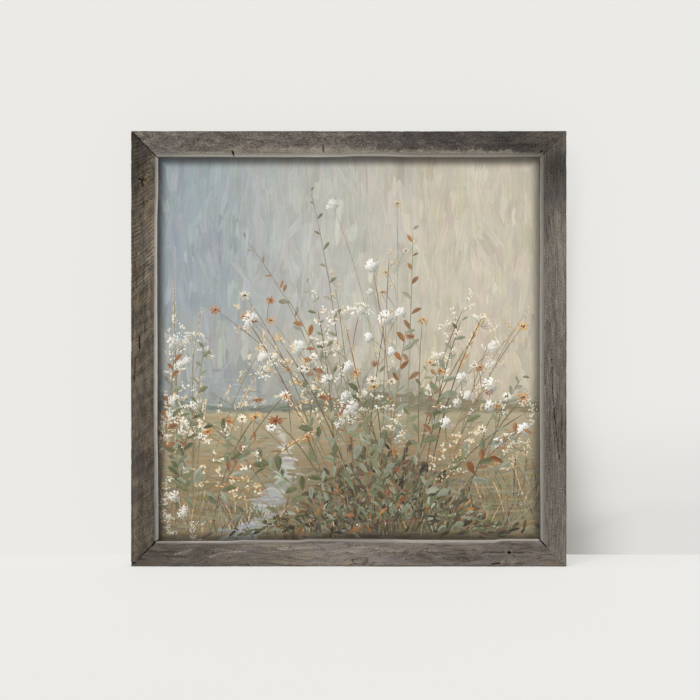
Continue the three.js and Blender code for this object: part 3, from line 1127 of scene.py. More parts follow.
# %% [markdown]
# A brush stroke of thick paint is a low ridge with ragged ends and fine grooves from
# the bristles. Each stroke here is a small strip of faces along a curve, in lanes: the
# outer lanes lie on the canvas and the inner ones stand up from it, a little unevenly,
# and each lane starts and ends in its own place and has its own shade. All strokes are
# gathered in one mesh in the order they are painted.

# %% The brush
class Brush:
    """Gathers strokes: their vertices, faces, colours and bristle coordinates."""

    def __init__(self, seed):
        self.random = np.random.default_rng(seed)
        self.points, self.faces, self.tints, self.bristles = [], [], [], []
        self.count, self.vertices = 0, 0

    def stroke(self, path, width, tint, layer, steps=5, lanes=4, body=0.05, ragged=0.12,
               streak=5.0, taper=0.5):
        """Paints along a path of (x, z), which three points bend; layer is its height."""
        path = np.asarray(path, float)
        random = self.random
        across = np.linspace(-1, 1, lanes + 1)
        first = random.uniform(0, ragged, lanes + 1)
        last = 1 - random.uniform(0, ragged, lanes + 1)
        share = first + np.linspace(0, 1, steps + 1)[:, None] * (last - first)
        knots = np.linspace(0, 1, len(path))
        x, z = np.interp(share, knots, path[:, 0]), np.interp(share, knots, path[:, 1])
        if len(path) == 3:
            x, z = (((1 - share) ** 2 * path[0, n] + 2 * share * (1 - share) * path[1, n]
                     + share**2 * path[2, n]) for n in (0, 1))
        ahead_x, ahead_z = np.gradient(x, axis=0), np.gradient(z, axis=0)
        length = np.hypot(ahead_x, ahead_z) + 1e-9
        half = width / 2 * (1 - taper + taper * np.sin(math.pi * np.clip(share, 0.02, 0.98)))
        x = x - ahead_z / length * across * half
        z = z + ahead_x / length * across * half

        inside = np.abs(across) < 0.99
        crown = np.where(inside, 0.6 + 0.4 * random.random(lanes + 1), 0)
        ends = np.sin(math.pi * np.linspace(0, 1, steps + 1)) > 0.01
        raised = inside * ends[:, None]
        rise = (layer + body * crown) * raised - 0.02 * (1 - raised)

        shade = random.normal(0, streak, lanes + 1) + random.normal(0, streak * 0.4,
                                                                    (steps + 1, 1))
        tints = np.clip(np.asarray(tint, float) + shade[..., None], 0, 255)
        run = np.cumsum(length, axis=0)
        bristle = np.stack([run, across * half, np.full(x.shape, self.count % 997)], -1)

        self.points.append(np.stack([x, CANVAS_Y - rise, z], -1).reshape(-1, 3))
        self.faces.append(grid_quads(steps + 1, lanes + 1, False) + self.vertices)
        self.tints.append(tints.reshape(-1, 3))
        self.bristles.append(bristle.reshape(-1, 3))
        self.vertices += (steps + 1) * (lanes + 1)
        self.count += 1

    def dab(self, x, z, length, width, angle, tint, layer, body=0.12, streak=6.0):
        """One short touch of the brush, centred at x, z and lying along angle."""
        dx, dz = math.cos(angle) * length / 2, math.sin(angle) * length / 2
        path = [(x - dx, z - dz), (x + dx, z + dz)]
        self.stroke(path, width, tint, layer, steps=2, lanes=2, body=body, ragged=0.1,
                    streak=streak, taper=0.6)

    def twig(self, path, width, tint, layer, steps):
        """A thin, even line."""
        self.stroke(path, width, tint, layer, steps, lanes=2, ragged=0.0)


trial = Brush(0)
trial.dab(0, 0, 5, 2, 0, (200, 190, 170), 0.1)
print("one dab has", trial.vertices, "vertices and", len(trial.faces[0]), "faces")

# %% [markdown]
# The sky is scumbled: broad, dry strokes, mostly upright, each close to the colour that
# lies under it. Hills and field get shorter, level strokes that follow the ground.

# %% Paint the sky and the land
SKY_STROKES = 640
HILL_STROKES = 300
TREES = 17
TREE_DABS = 26  # in each tree
FIELD_STROKES = 760


def paint_sky(brush):
    random = brush.random
    for _ in range(SKY_STROKES):
        x, z = random.uniform(-HALF, HALF), random.uniform(HORIZON + 14, HALF)
        slope = random.normal(0, 0.14) if random.random() < 0.85 else random.normal(0, 0.4)
        reach = min(random.uniform(12, 34), z - HORIZON - 6)
        tint = meadow_colour(x, z) + random.normal(0, 4.5) + random.normal(0, 1.5, 3)
        path = [(x - slope * reach, z - reach), (x + random.normal(0, 2), z),
                (x + slope * reach, z + reach)]
        brush.stroke(path, random.uniform(5, 13), tint, random.uniform(0.01, 0.05),
                     lanes=6, ragged=0.2, streak=3.0, taper=0.25)


def paint_land(brush):
    random = brush.random
    for _ in range(HILL_STROKES):
        x = random.uniform(-HALF, HALF)
        top = ridge_far(x) if random.random() < 0.5 else ridge_near(x)
        z = random.uniform(HORIZON, top)
        reach = random.uniform(4, 12)
        tint = meadow_colour(x, z) + random.normal(0, 5) + random.normal(0, 2, 3)
        brush.stroke([(x - reach, z - 0.8), (x, z + random.normal(0, 1)), (x + reach, z - 0.4)],
                     random.uniform(1.5, 4.0), tint, 0.06, lanes=3, streak=4.0)
    # Misty trees: round heaps of upright dabs that stand on the near ridge.
    for _ in range(TREES):
        x0 = random.uniform(-HALF, HALF)
        tall, wide = random.uniform(7, 19), random.uniform(5, 12)
        tint = blend(random.uniform(0.1, 0.5), meadow_colour(x0, HORIZON + 5), (176, 172, 158))
        for _ in range(TREE_DABS):
            turn, out = random.uniform(0, 2 * math.pi), random.uniform(0, 1) ** 0.5
            x = x0 + wide * out * math.cos(turn)
            z = HORIZON + 6 + tall * (0.5 + 0.5 * out * math.sin(turn))
            brush.dab(x, z, random.uniform(2.5, 5), random.uniform(1.5, 3),
                      random.normal(1.57, 0.4), tint + 8 * math.sin(turn), 0.08)
    for n in range(FIELD_STROKES):
        depth = (n / FIELD_STROKES) ** 0.8
        z = HORIZON - depth * (HORIZON + HALF)
        x = random.uniform(-HALF, HALF)
        reach = 3 + 13 * depth
        rise = random.normal(0, 0.6 + 2.5 * depth)
        tint = meadow_colour(x, z) + random.normal(0, 7) + random.normal(0, 3, 3)
        brush.stroke([(x - reach, z - rise), (x, z + 0.3 * reach * random.normal(0, 0.3)),
                      (x + reach, z + rise)],
                     1.6 + 4.2 * depth, tint, 0.08 + 0.04 * depth, lanes=3, streak=6.0)


brush = Brush(5)
paint_sky(brush)
paint_land(brush)
print(brush.count, "strokes of sky and land,", brush.vertices, "vertices")

# %% [markdown]
# Plants are drawn as they grow: a stem is one long thin stroke that bends outward, and
# its head is made of many small dabs. Six kinds repeat: feathery grass, white umbels,
# round seed heads, leafy twigs, small daisies and sprays of tiny blossom. The far ones
# are painted first and are paler, as mist would make them.

# %% Stems and their colours
STEMS = [(112, 98, 66), (140, 112, 72), (92, 76, 52), (120, 114, 82)]
LEAVES = [(112, 116, 84), (88, 92, 58), (134, 138, 116), (150, 98, 50), (126, 78, 42)]
CREAMS = [(236, 232, 222), (228, 216, 190), (214, 196, 158), (243, 241, 236)]
RUSTS = [(168, 104, 54), (190, 134, 80), (146, 84, 44), (204, 164, 110)]
UNDERGROWTH = [(58, 50, 34), (76, 68, 42), (88, 82, 54), (70, 60, 46), (94, 74, 46)]
MIST = (186, 179, 162)


def pick(random, tints, mist):
    return blend(mist, tints[random.integers(len(tints))], MIST)


def stem_path(root, top, bow=0.0):
    """A stem that starts upright and bends over towards its top."""
    middle = (root[0] + 0.3 * (top[0] - root[0]) + bow, root[1] + 0.62 * (top[1] - root[1]))
    return [root, middle, top]


def along_path(path, share):
    """A place on a bent stem and the direction that it runs in there."""
    path = np.asarray(path, float)
    place = (1 - share) ** 2 * path[0] + 2 * share * (1 - share) * path[1] + share**2 * path[2]
    ahead = 2 * (1 - share) * (path[1] - path[0]) + 2 * share * (path[2] - path[1])
    return place, math.atan2(ahead[1], ahead[0])


def reach_from(place, lean, reach):
    return place[0] + math.cos(lean) * reach, place[1] + math.sin(lean) * reach


def count_strokes(kind):
    """How many strokes one plant of a kind takes, painted aside on a trial sheet."""
    trial = Brush(0)
    kind(trial, stem_path((0, 0), (10, 60)), 1.0, 0.0, 0.1)
    return trial.count


print("halfway up a stem:", along_path(stem_path((0, 0), (10, 60)), 0.5)[0].round(1))

# %% [markdown]
# Grass heads are dabs that leave the upper part of the stem on both sides. An umbel is a
# fan of rays from one point, like an umbrella's ribs, with a small cluster on each. A
# seed head is a ball of dabs, painted from its rim inwards, so that the middle stands
# out, and lighter on the side that the light comes from.

# %% Grass, umbels and seed heads
DOWN_DABS = 58  # in each seed head


def feather_grass(brush, path, size, mist, layer):
    random = brush.random
    for share in np.linspace(0.7, 1.0, int(20 + 12 * size)):
        place, angle = along_path(path, share)
        lean = angle + random.choice((-1, 1)) * random.uniform(0.2, 0.6)
        reach = size * random.uniform(4, 7) * (1.3 - share) * 1.8
        x, z = reach_from(place, lean, reach / 2)
        tint = pick(random, CREAMS[1:3] + RUSTS[1:2] + RUSTS[3:], mist)
        brush.dab(x, z, reach, 1.3 * size, lean, tint, layer)


def umbel(brush, path, size, mist, layer):
    random = brush.random
    root, angle = along_path(path, 1.0)
    rays = random.integers(6, 10)
    for ray in range(rays):
        lean = angle + (ray / (rays - 1) - 0.5) * 2.4 + random.normal(0, 0.08)
        tip = reach_from(root, lean, size * random.uniform(7, 10.5))
        brush.twig([root, tip], 0.5, pick(random, STEMS, mist), layer, 2)
        for _ in range(8):
            low = random.uniform(-1, 1)
            tint = blend(0.45 * (low < -0.2), pick(random, CREAMS, mist * 0.7), (150, 146, 128))
            brush.dab(tip[0] + random.normal(0, 1.8 * size), tip[1] + 1.9 * size * low,
                      size * random.uniform(1.6, 2.8), size * random.uniform(1.2, 2.0),
                      random.uniform(0, math.pi), tint, layer + 0.08, 0.16)


def seed_head(brush, path, size, mist, layer):
    """A pale ball of down, lit from the upper left."""
    random = brush.random
    (x0, z0), _ = along_path(path, 1.0)
    radius = size * random.uniform(4.8, 6.6)
    for n in range(DOWN_DABS):
        turn = random.uniform(0, 2 * math.pi)
        out = radius * math.sqrt((DOWN_DABS - n) / DOWN_DABS)
        dx, dz = out * math.cos(turn), out * math.sin(turn)
        shade = soft_step((dx - 1.2 * dz) / radius, -0.6, 1.3)
        tint = blend(shade, (242, 240, 234), (150, 150, 142)) + random.normal(0, 5)
        brush.dab(x0 + dx, z0 + dz, size * random.uniform(2.6, 4.0), size * 2.0, turn,
                  blend(mist * 0.7, tint, MIST), layer + 0.12 * (1 - out / radius), 0.16)


print("strokes:", {kind.__name__: count_strokes(kind) for kind in (feather_grass, umbel, seed_head)})

# %% [markdown]
# A leaf is one wide stroke that tapers at both ends and droops a little, with its midrib
# as a thin darker stroke on top. A twig carries leaves left and right in turn.

# %% Leaves and twigs
def leaf(brush, place, lean, reach, tint, layer):
    droop = -0.12 * reach
    middle = reach_from(place, lean, reach / 2)
    tip = reach_from(place, lean, reach)
    curve = [tuple(place), (middle[0], middle[1] - droop), (tip[0], tip[1] + droop)]
    wide = reach * brush.random.uniform(0.32, 0.46)
    brush.stroke(curve, wide, tint, layer, body=0.12, ragged=0.0, streak=11.0, taper=1.0)
    brush.stroke(curve, 0.45, np.asarray(tint) * 0.72, layer + 0.1, steps=3, lanes=2,
                 body=0.04, ragged=0.0, streak=4.0)


def leafy_twig(brush, path, size, mist, layer):
    random = brush.random
    kind = LEAVES[:3] if random.random() < 0.5 else LEAVES[2:]
    for n, share in enumerate(np.linspace(0.4, 0.98, 11)):
        place, angle = along_path(path, share)
        lean = angle + (1 if n % 2 else -1) * random.uniform(0.5, 1.05)
        reach = size * random.uniform(8, 14) * (1.3 - 0.6 * share)
        leaf(brush, place, lean, reach, pick(random, kind, mist), layer)


print("strokes:", {"leafy_twig": count_strokes(leafy_twig)})

# %% [markdown]
# A daisy is seen from the side more often than from the front, so its ring of petals is
# squashed. A spray has side twigs with a few small blossoms each.

# %% Daisies and sprays
def daisy(brush, path, size, mist, layer):
    random = brush.random
    (x, z), _ = along_path(path, 1.0)
    petals = random.integers(9, 13)
    tint = pick(random, RUSTS + CREAMS[:2], mist)
    squash = random.uniform(0.5, 0.95)
    for n in range(petals):
        lean = 2 * math.pi * n / petals + random.normal(0, 0.12)
        dx, dz = math.cos(lean) * size * 3.2, math.sin(lean) * size * 3.2 * squash
        brush.dab(x + dx, z + dz, size * 5.0, size * 1.9, math.atan2(dz, dx),
                  tint + random.normal(0, 9) + 10 * math.sin(lean), layer, 0.2)
    for _ in range(7):
        brush.dab(x + random.normal(0, 0.8 * size), z + random.normal(0, 0.5 * size),
                  size * 1.7, size * 1.3, random.uniform(0, math.pi),
                  (96, 64, 36) + random.normal(0, 12, 3), layer + 0.15, 0.2)


def spray(brush, path, size, mist, layer):
    random = brush.random
    blossoms = CREAMS[1:3] + RUSTS[3:] if random.random() < 0.6 else CREAMS
    for n, share in enumerate(np.linspace(0.45, 1.0, 10)):
        place, angle = along_path(path, share)
        lean = angle + (1 if n % 2 else -1) * random.uniform(0.4, 0.9) * (share < 0.97)
        reach = size * random.uniform(9, 20) * (1.3 - 0.7 * share)
        tip = reach_from(place, lean, reach)
        brush.twig([tuple(place), tip], 0.45, pick(random, STEMS, mist), layer, 3)
        for step in (0.45, 0.7, 0.88, 1.0):
            x, z = reach_from(place, lean + random.normal(0, 0.12), reach * step)
            for _ in range(3):
                brush.dab(x + random.normal(0, 0.9 * size), z + random.normal(0, 0.9 * size),
                          size * random.uniform(1.8, 3.0), size * random.uniform(1.2, 1.9),
                          random.uniform(0, math.pi), pick(random, blossoms, mist * 0.7),
                          layer + 0.08, 0.16)


print("strokes:", {kind.__name__: count_strokes(kind) for kind in (daisy, spray)})

# %% [markdown]
# Plants with a single head get side shoots with smaller heads, and a few leaves low on
# the stem. So one function can paint any kind.

# %% A whole plant
KINDS = [feather_grass, umbel, seed_head, leafy_twig, daisy, spray]


def paint_plant(brush, root, top, kind, size, mist, layer):
    random = brush.random
    path = stem_path(root, top, random.normal(0, 4))
    brush.stroke(path, size, pick(random, STEMS, mist), layer, steps=14, lanes=2, body=0.06,
                 ragged=0.0, taper=0.35)
    if kind in (umbel, seed_head, daisy):
        for _ in range(random.integers(1, 4)):
            place, angle = along_path(path, random.uniform(0.5, 0.85))
            lean = angle + random.choice((-1, 1)) * random.uniform(0.3, 0.7)
            tip = reach_from(place, lean, random.uniform(14, 30) * size)
            shoot = stem_path(tuple(place), tip, random.normal(0, 1))
            brush.twig(shoot, 0.6 * size, pick(random, STEMS, mist), layer, 5)
            kind(brush, shoot, size * 0.75, mist, layer)
        for share in random.uniform(0.15, 0.6, 3):
            place, angle = along_path(path, share)
            leaf(brush, place, angle + random.choice((-1, 1)) * random.uniform(0.4, 0.9),
                 size * random.uniform(9, 15), pick(random, LEAVES[:3], mist), layer)
    kind(brush, path, size, mist, layer)


print(len(KINDS), "kinds of plant")

# %% [markdown]
# The scene is filled from far to near: dots of flowers in the field, the dark
# undergrowth of a thicket right of the middle, the tall plants that fan out from it, a
# small group at the left, and blades of grass along the lower edge.

# %% Fill the scene
MEADOW_DOTS = 520
UNDERGROWTH_LEAVES = 900
BLADES = 460
# How often each kind grows in the thicket and at the left, in the order of KINDS.
THICKET_CHANCES = (0.12, 0.12, 0.17, 0.24, 0.12, 0.23)
LEFT_CHANCES = (0.34, 0.16, 0.06, 0.16, 0.10, 0.18)


def paint_meadow_dots(brush):
    random = brush.random
    for _ in range(MEADOW_DOTS):
        depth = random.uniform(0.05, 1) ** 0.9
        z = HORIZON - depth * (HORIZON + HALF)
        x = random.uniform(-HALF, HALF)
        if abs(x - stream_middle(z)) < stream_half(z) + 2:
            continue
        if rough_hills(np.array([x / 30]), np.array([z / 9]), 91)[0] < 0.0:
            continue
        size = 0.7 + 1.5 * depth
        tint = pick(random, CREAMS + RUSTS, 0.3 * (1 - depth))
        brush.dab(x, z, size * 1.5, size, random.normal(0, 0.5), tint, 0.12)


def paint_undergrowth(brush):
    """Leaves in the shade first, then lighter ones towards the top of the heap."""
    random = brush.random
    for n in range(UNDERGROWTH_LEAVES):
        ahead = n / UNDERGROWTH_LEAVES
        x = THICKET + random.normal(0, 52)
        heap = math.exp(-(((x - THICKET) / 78) ** 2))
        depth = random.uniform(0, 1) if ahead < 0.45 else random.uniform(0.25, 1.1)
        z = -HALF + 2 + 88 * heap * depth * (1.05 - 0.55 * ahead) + random.normal(0, 4)
        lean = 1.57 - 0.011 * (x - THICKET) + random.normal(0, 0.6)
        tints = LEAVES[:3] if random.random() < 0.15 + 0.35 * ahead else UNDERGROWTH
        if random.random() < 0.08:
            tints = LEAVES[3:]
        light = soft_step(depth, 0.3, 1.1) * 14 - 8 + random.normal(0, 5)
        leaf(brush, (x, z), lean, random.uniform(6, 15),
             pick(random, tints, random.uniform(0, 0.12)) + light, 0.1 + 0.04 * ahead)


def paint_stand(brush, plants, middle, spread, tallest, chances):
    """Plants that fan out from a stretch of ground, the far ones first."""
    random = brush.random
    for near in np.sort(random.uniform(0, 1, plants)):
        x = middle + random.normal(0, spread)
        lean = 0.011 * (x - middle) + random.normal(0, 0.24)
        root = (x, -HALF + 4 + (1 - near) * 38)
        reach = tallest * random.uniform(0.45, 1.0) * (1.08 - 0.35 * near) * math.cos(lean * 0.7)
        top = (x + math.sin(lean) * reach, root[1] + math.cos(lean) * reach)
        top = (min(max(top[0], 14 - HALF), HALF - 14), min(top[1], HALF - 16))
        kind = KINDS[random.choice(len(KINDS), p=chances)]
        paint_plant(brush, root, top, kind, 0.9 + 0.5 * near, 0.42 * (1 - near),
                    0.16 + 0.1 * near)


def paint_blades(brush):
    random = brush.random
    for _ in range(BLADES):
        x = random.uniform(-HALF, HALF)
        outside = abs(x - THICKET + 60) / HALF
        reach = random.uniform(14, 44) * (0.5 + 0.7 * outside)
        root = (x, random.uniform(-HALF - 4, -HALF + 14 + 22 * outside**2))
        tip = (x + random.normal(0, 0.4) * reach, root[1] + reach)
        tint = pick(random, STEMS + LEAVES[:3] + RUSTS[3:] + UNDERGROWTH[2:],
                    random.uniform(0, 0.3))
        brush.stroke(stem_path(root, tip, random.normal(0, 3)), random.uniform(0.9, 2.4), tint,
                     0.14, lanes=2, body=0.08, ragged=0.0, streak=7.0, taper=0.9)


paint_meadow_dots(brush)
paint_undergrowth(brush)
paint_stand(brush, plants=62, middle=THICKET, spread=38, tallest=292,
            chances=THICKET_CHANCES)
paint_stand(brush, plants=20, middle=-150, spread=18, tallest=210, chances=LEFT_CHANCES)
paint_blades(brush)
print(brush.count, "strokes in all,", brush.vertices, "vertices")

# %% [markdown]
# The bare sheet is a thin square plate. Only its front needs a grid, because the soft
# colours are stored there; its back and its four sides are one face each. Strokes that
# run past the opening are moved under the frame's lip, where the sheet still reaches.

# %% The bare sheet
CELLS = 96
BACK_TINT = (214, 206, 190)
SHEET_EDGE = 0.4  # how far inside the sheet's edge the strokes stay
UNDER_LIP = 0.5  # how far inside the opening's edge they begin to lie flat
THIN_PAINT = 0.1  # how thick they are there at most


def bare_sheet():
    """The front's grid of vertices, the four corners of the back, and their faces."""
    half = SHEET / 2
    across = np.linspace(-half, half, CELLS + 1)
    x, z = (side.T.ravel() for side in np.meshgrid(across, across, indexing="ij"))
    front = np.stack([x, np.full(x.shape, CANVAS_Y), z], -1)
    back_y = CANVAS_Y + (print_high.y - print_low.y) / MM
    back = np.array([(a, back_y, b) for a, b in
                     ((-half, -half), (half, -half), (half, half), (-half, half))])
    count = CELLS + 1
    first_back = len(front)
    rim = [np.arange(count), np.arange(count) * count + CELLS,
           np.arange(count)[::-1] + CELLS * count, np.arange(count)[::-1] * count]
    sides = [[*line[::-1], first_back + n, first_back + (n + 1) % 4]
             for n, line in enumerate(rim)]
    polygons = [[first_back + n for n in (3, 2, 1, 0)], *sides]
    return front, back, grid_quads(count, count, False)[:, ::-1], polygons


def kept_on_sheet(strokes):
    """Moves what runs past the opening flat under the lip, and back onto the sheet."""
    limit = SHEET / 2 - SHEET_EDGE
    strokes[:, [0, 2]] = np.clip(strokes[:, [0, 2]], -limit, limit)
    under_lip = np.abs(strokes[:, [0, 2]]).max(1) > HALF - UNDER_LIP
    strokes[under_lip, 1] = np.maximum(strokes[under_lip, 1], CANVAS_Y - THIN_PAINT)
    return strokes


front, back, sheet_quads, sheet_polygons = bare_sheet()
print("the bare sheet has", len(sheet_quads), "squares in front and", len(sheet_polygons), "more faces")

# %% [markdown]
# The sheet and the strokes are one piece, since paint doesn't come off its canvas. So
# they go in one mesh, and each vertex stores its colour and how the bristles ran there.
# The texture map is the picture itself seen from the front, with the sheet's back in a
# strip beside it.

# %% Build the painted canvas
STROKE_ANGLE = math.radians(60)  # sharper edges than this stay sharp


def canvas_map(mesh, places, quads):
    """The picture from the front for the quads, and a strip beside it for the rest."""
    corner = corner_vertices(mesh)
    flat = places[corner][:, [0, 2]]
    uv = 0.02 + 0.94 * (flat / SHEET + 0.5)
    rest = np.arange(len(corner)) >= quads * 4
    uv[rest] = np.c_[0.975 + 0.02 * (flat[rest, 0] / SHEET + 0.5),
                     0.02 + 0.94 * (flat[rest, 1] / SHEET + 0.5)]
    store_map(mesh, uv)


def build_canvas(brush):
    strokes = kept_on_sheet(np.concatenate(brush.points))
    first_stroke = len(front) + len(back)
    quads = np.concatenate([sheet_quads, *[f + first_stroke for f in brush.faces]])
    places = np.concatenate([front, back, strokes])
    sheet = mesh_object("painted_canvas", places * MM + CENTRE, quads, sheet_polygons)
    mesh = sheet.data

    x, z = front[:, 0], front[:, 2]
    plain = np.tile(BACK_TINT, (4, 1))
    tints = np.concatenate([meadow_colour(x, z), plain, *brush.tints])
    vertex_values(mesh, "paint", np.c_[linear(*tints.T).T, np.ones(len(tints))],
                  "FLOAT_COLOR")
    # Under the strokes the bristles ran upright in the sky and level on the ground.
    upright = np.stack([z, x, x * 0 + 3.0], -1)
    level = np.stack([x, z, x * 0 + 8.0], -1)
    ground = np.where((z > HORIZON)[:, None], upright, level)
    bristles = np.concatenate([ground, np.zeros((4, 3)), *brush.bristles])
    vertex_values(mesh, "bristle", bristles, "FLOAT_VECTOR")

    canvas_map(mesh, places, len(quads))
    mesh.shade_smooth()
    mesh.set_sharp_from_angle(angle=STROKE_ANGLE)
    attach(sheet, "root")
    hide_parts("art_print")
    return sheet


canvas = build_canvas(brush)
print("canvas faces:", len(canvas.data.polygons))

# %% [markdown]
# Paint takes its colour from the vertices and its grooves from noise that is stretched
# along each stroke. A faint canvas weave shows between the grooves. Along the edge of
# the opening the picture is darkened by a painted shade of the lip's shadow, with some dust.

# %% Paint on canvas
THREAD = 0.9  # from one thread of the canvas to the next
# where the painted shade along the opening begins and ends, in mm from the middle
EDGE_SHADE_FROM, EDGE_SHADE_TO = HALF - 8, HALF + 2.2


def ripple(paint, distance, pitch):
    """An even wave with one crest in each pitch, which is in mm."""
    return paint.math("SINE", distance * (2 * math.pi / (pitch * MM)))


def paint_finish():
    paint = Finish("paint_on_canvas")
    tint = paint.attribute("paint", "Color")
    bristle = paint.attribute("bristle", "Vector")
    place = paint.object_place()
    x, _, z = paint.parts(place)
    groove = paint.noise(bristle, (0.05, 2.2, 7.31), 5.0, 0.65)
    broad = paint.noise(bristle, (0.02, 0.45, 3.17), 3.0, 0.5)
    blotch = paint.noise(place, (38, 38, 38), 4.0, 0.6, 0.5)

    worn = paint.between(groove, 0.3, 0.7, 0.9, 1.1) * paint.between(blotch, 0.3, 0.7, 0.95, 1.05)
    base = paint.scaled(tint, worn)
    base = paint.layer(paint.between(broad, 0.45, 0.8) * 0.18, base, 168, 178, 186)
    from_middle = paint.math("MAXIMUM", paint.math("ABSOLUTE", x),
                             paint.math("ABSOLUTE", z - CENTRE.z))
    # painted shade of the lip's shadow along the opening, with a little dust
    edge_shade = paint.between(from_middle + blotch * 0.002, EDGE_SHADE_FROM * MM, EDGE_SHADE_TO * MM)
    base = paint.layer(edge_shade * 0.62, base, 46, 44, 42)
    weave = ripple(paint, x, THREAD) * ripple(paint, z, THREAD)
    height = groove * 0.8 + broad * 0.5 + weave * 0.05
    rough = paint.between(groove, 0.3, 0.7, 0.62, 0.5)
    return paint.shade(Base_Color=base, Roughness=rough, Normal=paint.bump(height, 0.35, 0.12),
                       Specular_IOR_Level=0.3)


canvas_finish = paint_finish()
canvas.data.materials.append(canvas_finish)
print(canvas_finish.name, "has", len(canvas_finish.node_tree.nodes), "shader nodes")

# %% [markdown]
# ## The parts behind
#
# The small parts keep their solids, which already have the right shape, and get a
# finish each. Hardboard is pressed wood fibre: a warm brown with fine flecks, and on
# its rough side the print of the wire screen it was pressed on.

# %% Hardboard
WIRE = 1.6  # from one wire of the screen to the next


def hardboard():
    paint = Finish("hardboard")
    place = paint.object_place()
    x, _, z = paint.parts(place)
    fibre = paint.noise(place, (900, 900, 900), 6.0, 0.7, 1.5)
    fleck = paint.noise(place, (260, 260, 260), 4.0, 0.7, 0.6)
    stain = paint.noise(place, (9, 9, 9), 4.0, 0.55, 0.4)
    base = paint.mix(paint.between(fibre, 0.3, 0.7), colour(88, 64, 46), colour(132, 102, 73))
    base = paint.layer(paint.between(fleck, 0.56, 0.7) * 0.6, base, 158, 129, 96)
    base = paint.layer(paint.between(fleck, 0.42, 0.3) * 0.5, base, 64, 42, 28)
    base = paint.layer(paint.between(stain, 0.45, 0.7) * 0.3, base, 88, 60, 40)
    screen = ripple(paint, x, WIRE) + ripple(paint, z, WIRE)
    height = screen * 0.25 + fibre * 0.6
    normal = paint.bump(height, 0.5, 0.15)
    return paint.shade(Base_Color=base, Roughness=0.82, Normal=normal,
                       Specular_IOR_Level=0.3)


hardboard_finish = hardboard()
print("hardboard has", len(hardboard_finish.node_tree.nodes), "shader nodes")

# %% [markdown]
# The metal parts are stamped from strip, which leaves fine lines along it, and some of
# their brightness has gone in spots. A noise that is stretched along one direction gives
# the lines. Felt is loose fibre: a very fine noise for its fuzz, a coarser one for its
# clumps, and some sheen, because its fibres catch light at a low angle.

# %% Steel, brassed steel and felt
def steel(name, bright, dull, grain):
    paint = Finish(name)
    place = paint.object_place()
    brushed = paint.noise(place, grain, 4.0, 0.6)
    spots = paint.noise(place, (520, 520, 520), 3.0, 0.6, 0.4)
    worn = paint.between(spots, 0.35, 0.75) * 0.6 + paint.between(brushed, 0.35, 0.65) * 0.3
    base = paint.mix(worn, colour(*bright), colour(*dull))
    rough = paint.between(brushed, 0.3, 0.7, 0.34, 0.5)
    normal = paint.bump(brushed, 0.12, 0.04)
    return paint.shade(Base_Color=base, Roughness=rough, Normal=normal, Metallic=0.95)


def felt():
    paint = Finish("felt")
    place = paint.object_place()
    fuzz = paint.noise(place, (2600, 2600, 2600), 5.0, 0.75, 1.0)
    clump = paint.noise(place, (700, 700, 700), 3.0, 0.6)
    base = paint.mix(paint.between(fuzz, 0.3, 0.7), colour(46, 42, 39), colour(92, 86, 80))
    base = paint.layer(paint.between(clump, 0.5, 0.7) * 0.4, base, 110, 104, 97)
    normal = paint.bump(fuzz + clump, 0.8, 0.3)
    return paint.shade(Base_Color=base, Roughness=0.98, Normal=normal, Sheen_Weight=0.5)


SMALL_FINISHES = {
    "backing_board": hardboard_finish,
    "framing_point": steel("bright_steel", (176, 178, 180), (138, 140, 142), (300, 300, 2400)),
    "wedge": steel("dull_steel", (120, 120, 120), (74, 72, 70), (900, 900, 900)),
    "sawtooth_hanger": steel("brassed_steel", (188, 162, 112), (154, 128, 82), (2400, 300, 300)),
    "hanger_tack": steel("brassed_tack", (194, 168, 118), (158, 132, 86), (900, 900, 900)),
    "bumper": felt(),
}
dressed = 0
for name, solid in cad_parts.items():
    for start, finish in SMALL_FINISHES.items():
        if name.startswith(start):
            solid.data.materials.clear()
            solid.data.materials.append(finish)
            dressed += 1
print(dressed, "small parts have their finish")

# %% [markdown]
# ## Floor and wall
#
# The picture stands on a pale floor against a pale wall. In a studio the light on such
# papers is evened out until hardly any shadow is left. So each paper is made of two
# kinds: it glows by itself where it should look even, and reflects light where the
# picture's shadow should fall. The glow fades in and out by distance, so no seam shows.

# %% Pale paper
GLOW = 0.87  # the share of the paper's light that is its own, where it glows most
GLOW_LEVEL = 0.98
LEFT, RIGHT, FRONT = left_low.x, right_high.x, left_low.y
WIDE = 6.0  # half the papers' width, m
floor_z = bottom_z - 0.5 * MM


def stage_plane(name, near_edge, far_edge, material):
    """A wide paper between two level edges, each given by its y and z."""
    corners = [(-WIDE, *near_edge), (WIDE, *near_edge), (WIDE, *far_edge), (-WIDE, *far_edge)]
    plane = mesh_object(name, np.array(corners), np.array([[0, 1, 2, 3]]))
    plane.data.materials.append(material)
    plane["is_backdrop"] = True
    return plane


def lit_paper(name, glow_at, painted_shade_at=None):
    """Pale paper that glows by itself where glow_at says so and reflects elsewhere, its colour darkened
    by painted shade where painted_shade_at says so.
    """
    paint = Finish(name)
    place = paint.object_place()
    cloud = paint.noise(place, (3, 3, 3), 3.0, 0.5)
    base = paint.mix(cloud, colour(235, 234, 230), colour(237, 236, 232))
    x, y, z = paint.parts(place)
    glow = glow_at(paint, x, y, z)
    if painted_shade_at:
        # painted shade: the paper's colour is darkened where the picture's shadow lies low down
        base = paint.scaled(base, painted_shade_at(paint, x, z))
    black = colour(0, 0, 0)
    paint.shade(Base_Color=paint.mix(glow, base, black), Emission_Strength=GLOW_LEVEL,
                Emission_Color=paint.mix(glow, black, base), Roughness=0.9,
                Specular_IOR_Level=0.1)
    return paint


def most(paint, *values):
    """The largest of several values."""
    largest = values[0]
    for value in values[1:]:
        largest = paint.math("MAXIMUM", largest, value)
    return largest


def by_height(paint, z, low, high, below, above):
    """A soft step between two heights over the floor, in mm."""
    return paint.between(z, floor_z + low * MM, floor_z + high * MM, below, above)


print(f"papers glow at up to {GLOW * GLOW_LEVEL:.2f} of full light")
